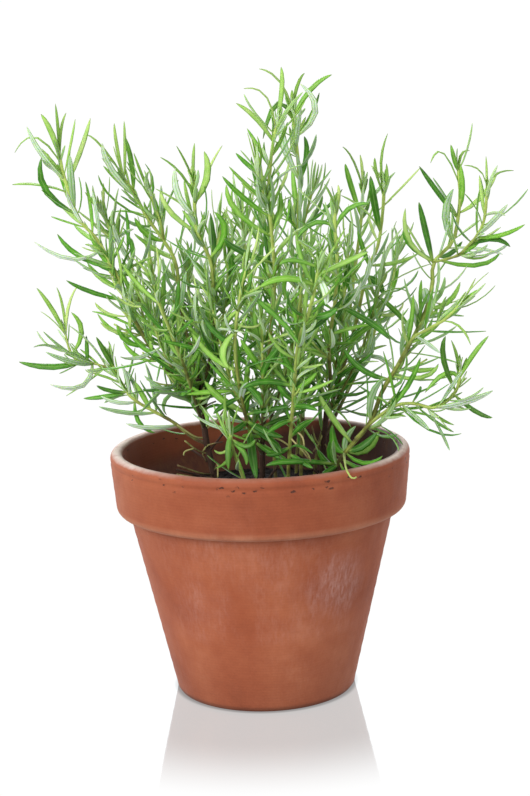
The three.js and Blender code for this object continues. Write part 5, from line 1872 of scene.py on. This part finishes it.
# damp clay and painted shade inside the pot
damp_and_shade = add_node(tree, "MapRange", inward, *(v * MM for v in WALL_BLUR))
line = add_node(tree, "Math", at["X"], -DARK_INSIDE_SLANT, at["Z"], **TIMES_PLUS)
line = add_node(tree, "Math", streaks, -DARK_INSIDE_RAGGED * MM, line, **TIMES_PLUS)
rising = add_node(tree, "MapRange", line, *(v * MM for v in DARK_INSIDE_LINE), 1, 0.25, **SMOOTH)
damp_and_shade = add_node(tree, "Math", damp_and_shade, rising, **TIMES)
dark_inside = add_node(tree, "ValToRGB", streaks, stops=DAMP_AND_SHADE_COLOURS)
# the right side of the inside is painted darker
darker_right = add_node(tree, "MapRange", at["X"], *(v * MM for v in DARKER_SIDE), 1, 0.5, **SMOOTH)
dark_inside = add_node(tree, "Mix", 1, dark_inside, darker_right, **SHADES)
colour = add_node(tree, "Mix", damp_and_shade, colour, dark_inside, **COLOURS)
rough = add_node(tree, "MapRange", streaks, 0.3, 0.7, 0.55, 0.82)
height = add_node(tree, "Math", ring, 0.25, grain, **TIMES_PLUS)
height = add_node(tree, "Math", pits, -6, height, **TIMES_PLUS)
bump = add_node(tree, "Bump", Height=height, Strength=0.35, Distance=0.12 * MM)
plug(tree, shader, Base_Color=colour, Roughness=rough, Normal=bump)
print("terracotta:", len(tree.nodes), "nodes")

# %% [markdown]
# ## Peat, bark and dry twigs
#
# Potting soil is damp black peat with brown fibres, matt and full of small holes. One noise with
# much detail gives its colour, its roughness and its bumps together, so that what stands up is
# also what has dried to brown.

# %% Damp peat
PEAT_CLOD = repeats(3)
PEAT_COLOURS = [(0.3, "#090808"), (0.55, "#191414"), (0.8, "#3a2f27")]
peat, tree, shader = new_material("damp black peat", Specular_IOR_Level=0.12)
place = add_node(tree, "TexCoord").outputs["Object"]
fibre = add_node(tree, "TexNoise", place, PEAT_CLOD, 8, 0.7)
colour = add_node(tree, "ValToRGB", fibre, stops=PEAT_COLOURS)
rough = add_node(tree, "MapRange", fibre, 0, 1, 0.65, 1)
bump = add_node(tree, "Bump", Height=fibre, Strength=1, Distance=1.2 * MM)
plug(tree, shader, Base_Color=colour, Roughness=rough, Normal=bump)
print("peat:", len(tree.nodes), "nodes")

# %% [markdown]
# The bark of an old rosemary stem is grey-brown and peels in long fibres. Its noise runs on the
# UV map: nine fibres round the stem, and fourteen lengths up it, which draws them long and narrow.

# %% Old bark
BARK_FIBRES = (9, 14, 1)
BARK_COLOURS = [(0.3, "#1f1513"), (0.48, "#38271f"), (0.62, "#523c30"), (0.78, "#7a6352")]
bark, tree, shader = new_material("fibrous old rosemary bark", Specular_IOR_Level=0.2)
place = add_node(tree, "TexCoord").outputs["UV"]
stretched = add_node(tree, "Mapping", place, Scale=BARK_FIBRES)
fibre = add_node(tree, "TexNoise", stretched, 1, 8, 0.75)
colour = add_node(tree, "ValToRGB", fibre, stops=BARK_COLOURS)
rough = add_node(tree, "MapRange", fibre, 0, 1, 0.7, 1)
bump = add_node(tree, "Bump", Height=fibre, Strength=0.9, Distance=0.5 * MM)
plug(tree, shader, Base_Color=colour, Roughness=rough, Normal=bump)
print("bark:", len(tree.nodes), "nodes")

# %% [markdown]
# Between the old stems hang thin dead twigs, some brown and some still straw-green, because they
# died at different times. A wide noise gives each twig its age, and a fine one its fibres.

# %% Dead twig
TWIG_AGE, TWIG_FIBRE = repeats(16), repeats(1.2)
TWIG_COLOURS = [(0.45, "#3a2c22"), (0.6, "#6d5c3d"), (0.7, "#8f9254"), (0.85, "#b9ad78")]
dry, tree, shader = new_material("dry dead rosemary twig", Specular_IOR_Level=0.25)
place = add_node(tree, "TexCoord").outputs["Object"]
age = add_node(tree, "TexNoise", place, TWIG_AGE, 1)
fibre = add_node(tree, "TexNoise", place, TWIG_FIBRE, 4)
mixed = add_node(tree, "Math", fibre, 0.3, age, **TIMES_PLUS)
colour = add_node(tree, "ValToRGB", mixed, stops=TWIG_COLOURS)
rough = add_node(tree, "MapRange", fibre, 0, 1, 0.6, 0.95)
bump = add_node(tree, "Bump", Height=fibre, Strength=0.6, Distance=0.2 * MM)
plug(tree, shader, Base_Color=colour, Roughness=rough, Normal=bump)
print("dead twig:", len(tree.nodes), "nodes")

# %% [markdown]
# ## Dead twigs and a hanging twig
#
# The dead twigs are too thin for the solid model, so the table gives their routes, and the
# pattern of a twig is laid along each. They are joined to the stem they grow from. One young
# green twig hangs over the rim from the right main stem.

# %% Lay the twigs
DRY_TWIGS = {
    "woody_stem_left": [
        [(-29, 6, 131), (-27, 3, 133), (-20, 0, 135)],
        [(-29, 5, 123), (-31, 4, 128), (-29, 3, 132)],
        [(-28, 6, 127), (-34, 0, 131), (-40, -4, 137)],
        [(-35, -1, 132), (-40, -3, 131), (-41, -4, 129)],
        [(-30, 6, 136), (-35, 2, 138), (-44, 0, 145)],
        [(-30, 6, 140), (-23, 3, 146), (-19, 0, 152)],
        [(-30, 5, 152), (-27, 3, 155), (-23, 1, 157)],
        [(-31, 5, 167), (-35, 3, 171), (-41, 0, 170)],
        [(-30, 5, 157), (-29, 4, 162), (-28, 3, 167)],
        [(-26, 5, 116), (-32, -8, 120), (-44, -14, 126)],
        [(-26, 5, 114), (-34, -14, 119), (-44, -22, 123)],
        [(-25, 5, 118), (-23, 0, 123), (-23, -6, 117)],
    ],
    "woody_stem_right": [
        [(34, 2, 134), (37, -4, 129), (42, -8, 127)], [(34, 2, 130), (30, -2, 135), (28, -4, 143)],
        [(35, 2, 140), (31, -3, 132), (28, -5, 129)],
    ],
    "shoot_front": [
        [(16, -37, 144), (21, -40, 139), (25, -42, 134)],
        [(19, -39, 141), (24, -40, 137), (26, -42, 133)],
        [(17, -38, 149), (22, -39, 145), (23, -40, 138)],
        [(16, -35, 139), (11, -37, 143), (5, -38, 146)],
    ],
}
HANGING_TWIG = [
    (43.8, -27, 132.6), (43.3, -44, 134), (43, -57, 134.3), (43.1, -66, 133.8),
    (44.4, -70.5, 131.6), (46, -72, 130.3), (47.8, -71.5, 130.9),
]
DRY_RADIUS = 0.45
HANGING_RADIUS = (0.75, 0.4)  # at its foot, at its tip
HANGING_YOUTH = 0.55

for name, routes in DRY_TWIGS.items():
    for route in routes:
        twig = laid_along(twig_rod, StemLine(route), even(DRY_RADIUS), "dry")
        twig.data.materials.append(dry)
        members.setdefault(name, []).append(twig)
hanging = StemLine(HANGING_TWIG)
thickness = tapering(*HANGING_RADIUS, hanging)
members["shoot_right_main"].append(
    laid_along(green_rod, hanging, thickness, "stem", youth=HANGING_YOUTH)
)
print("dead twigs:", sum(len(routes) for routes in DRY_TWIGS.values()))

# %% [markdown]
# ## Joining and dressing
#
# Each shoot of the solid model is one piece here as well: its stem, its side branches and all
# their leaves are joined into one mesh, which takes the solid's place. A stem has one material and
# a leaf two, and joining keeps them apart by their faces. The old stems are laid and joined the
# same way. Nothing on this plant moves by itself, so every piece rides on its one body.

# %% Join the shoots
for parts in members.values():
    for part in parts:
        if part.name.startswith("stem"):
            part.data.materials.append(green_stem)
        elif part.name.startswith("leaf"):
            part.data.materials.append(leaf_face)
            part.data.materials.append(leaf_back)

for name, parts in members.items():
    if name.startswith("woody"):
        continue
    piece = joined("leafy_" + name, parts)
    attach(piece, "root")
    if name.startswith("shoot_"):
        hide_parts(name)
print("leafy pieces:", sum(not name.startswith("woody") for name in members))

# %% Pot, soil and wood
TWIG_RADIUS = 0.6
pot.data.materials.append(clay)
soil.data.materials.append(peat)
soil_crumbs.data.materials.append(peat)
for piece, node, slot in ((pot, "pot", "terracotta"), (soil, "potting_soil", "potting_soil")):
    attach(piece, "root")
    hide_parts(node)
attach(soil_crumbs, "root")
for wood in WOODY_STEMS:
    line = StemLine(wood["route"])
    parts = [laid_along(wood_rod, line, tapering(*wood["radius"], line), "wood")]
    for route in wood["twigs"]:
        parts.append(laid_along(twig_rod, StemLine(route), even(TWIG_RADIUS), "twig"))
    for part in parts:
        part.data.materials.append(bark)
    parts += members.get(wood["name"], [])
    piece = joined("bark_" + wood["name"], parts)
    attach(piece, "root")
    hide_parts(wood["name"])
print("old stems:", [wood["name"] for wood in WOODY_STEMS])

# %% [markdown]
# ## The end
#
# The patterns have done their work and go.

# %% Finish
for pattern in (green_rod, wood_rod, twig_rod, leaf_pattern):
    bpy.data.objects.remove(pattern)
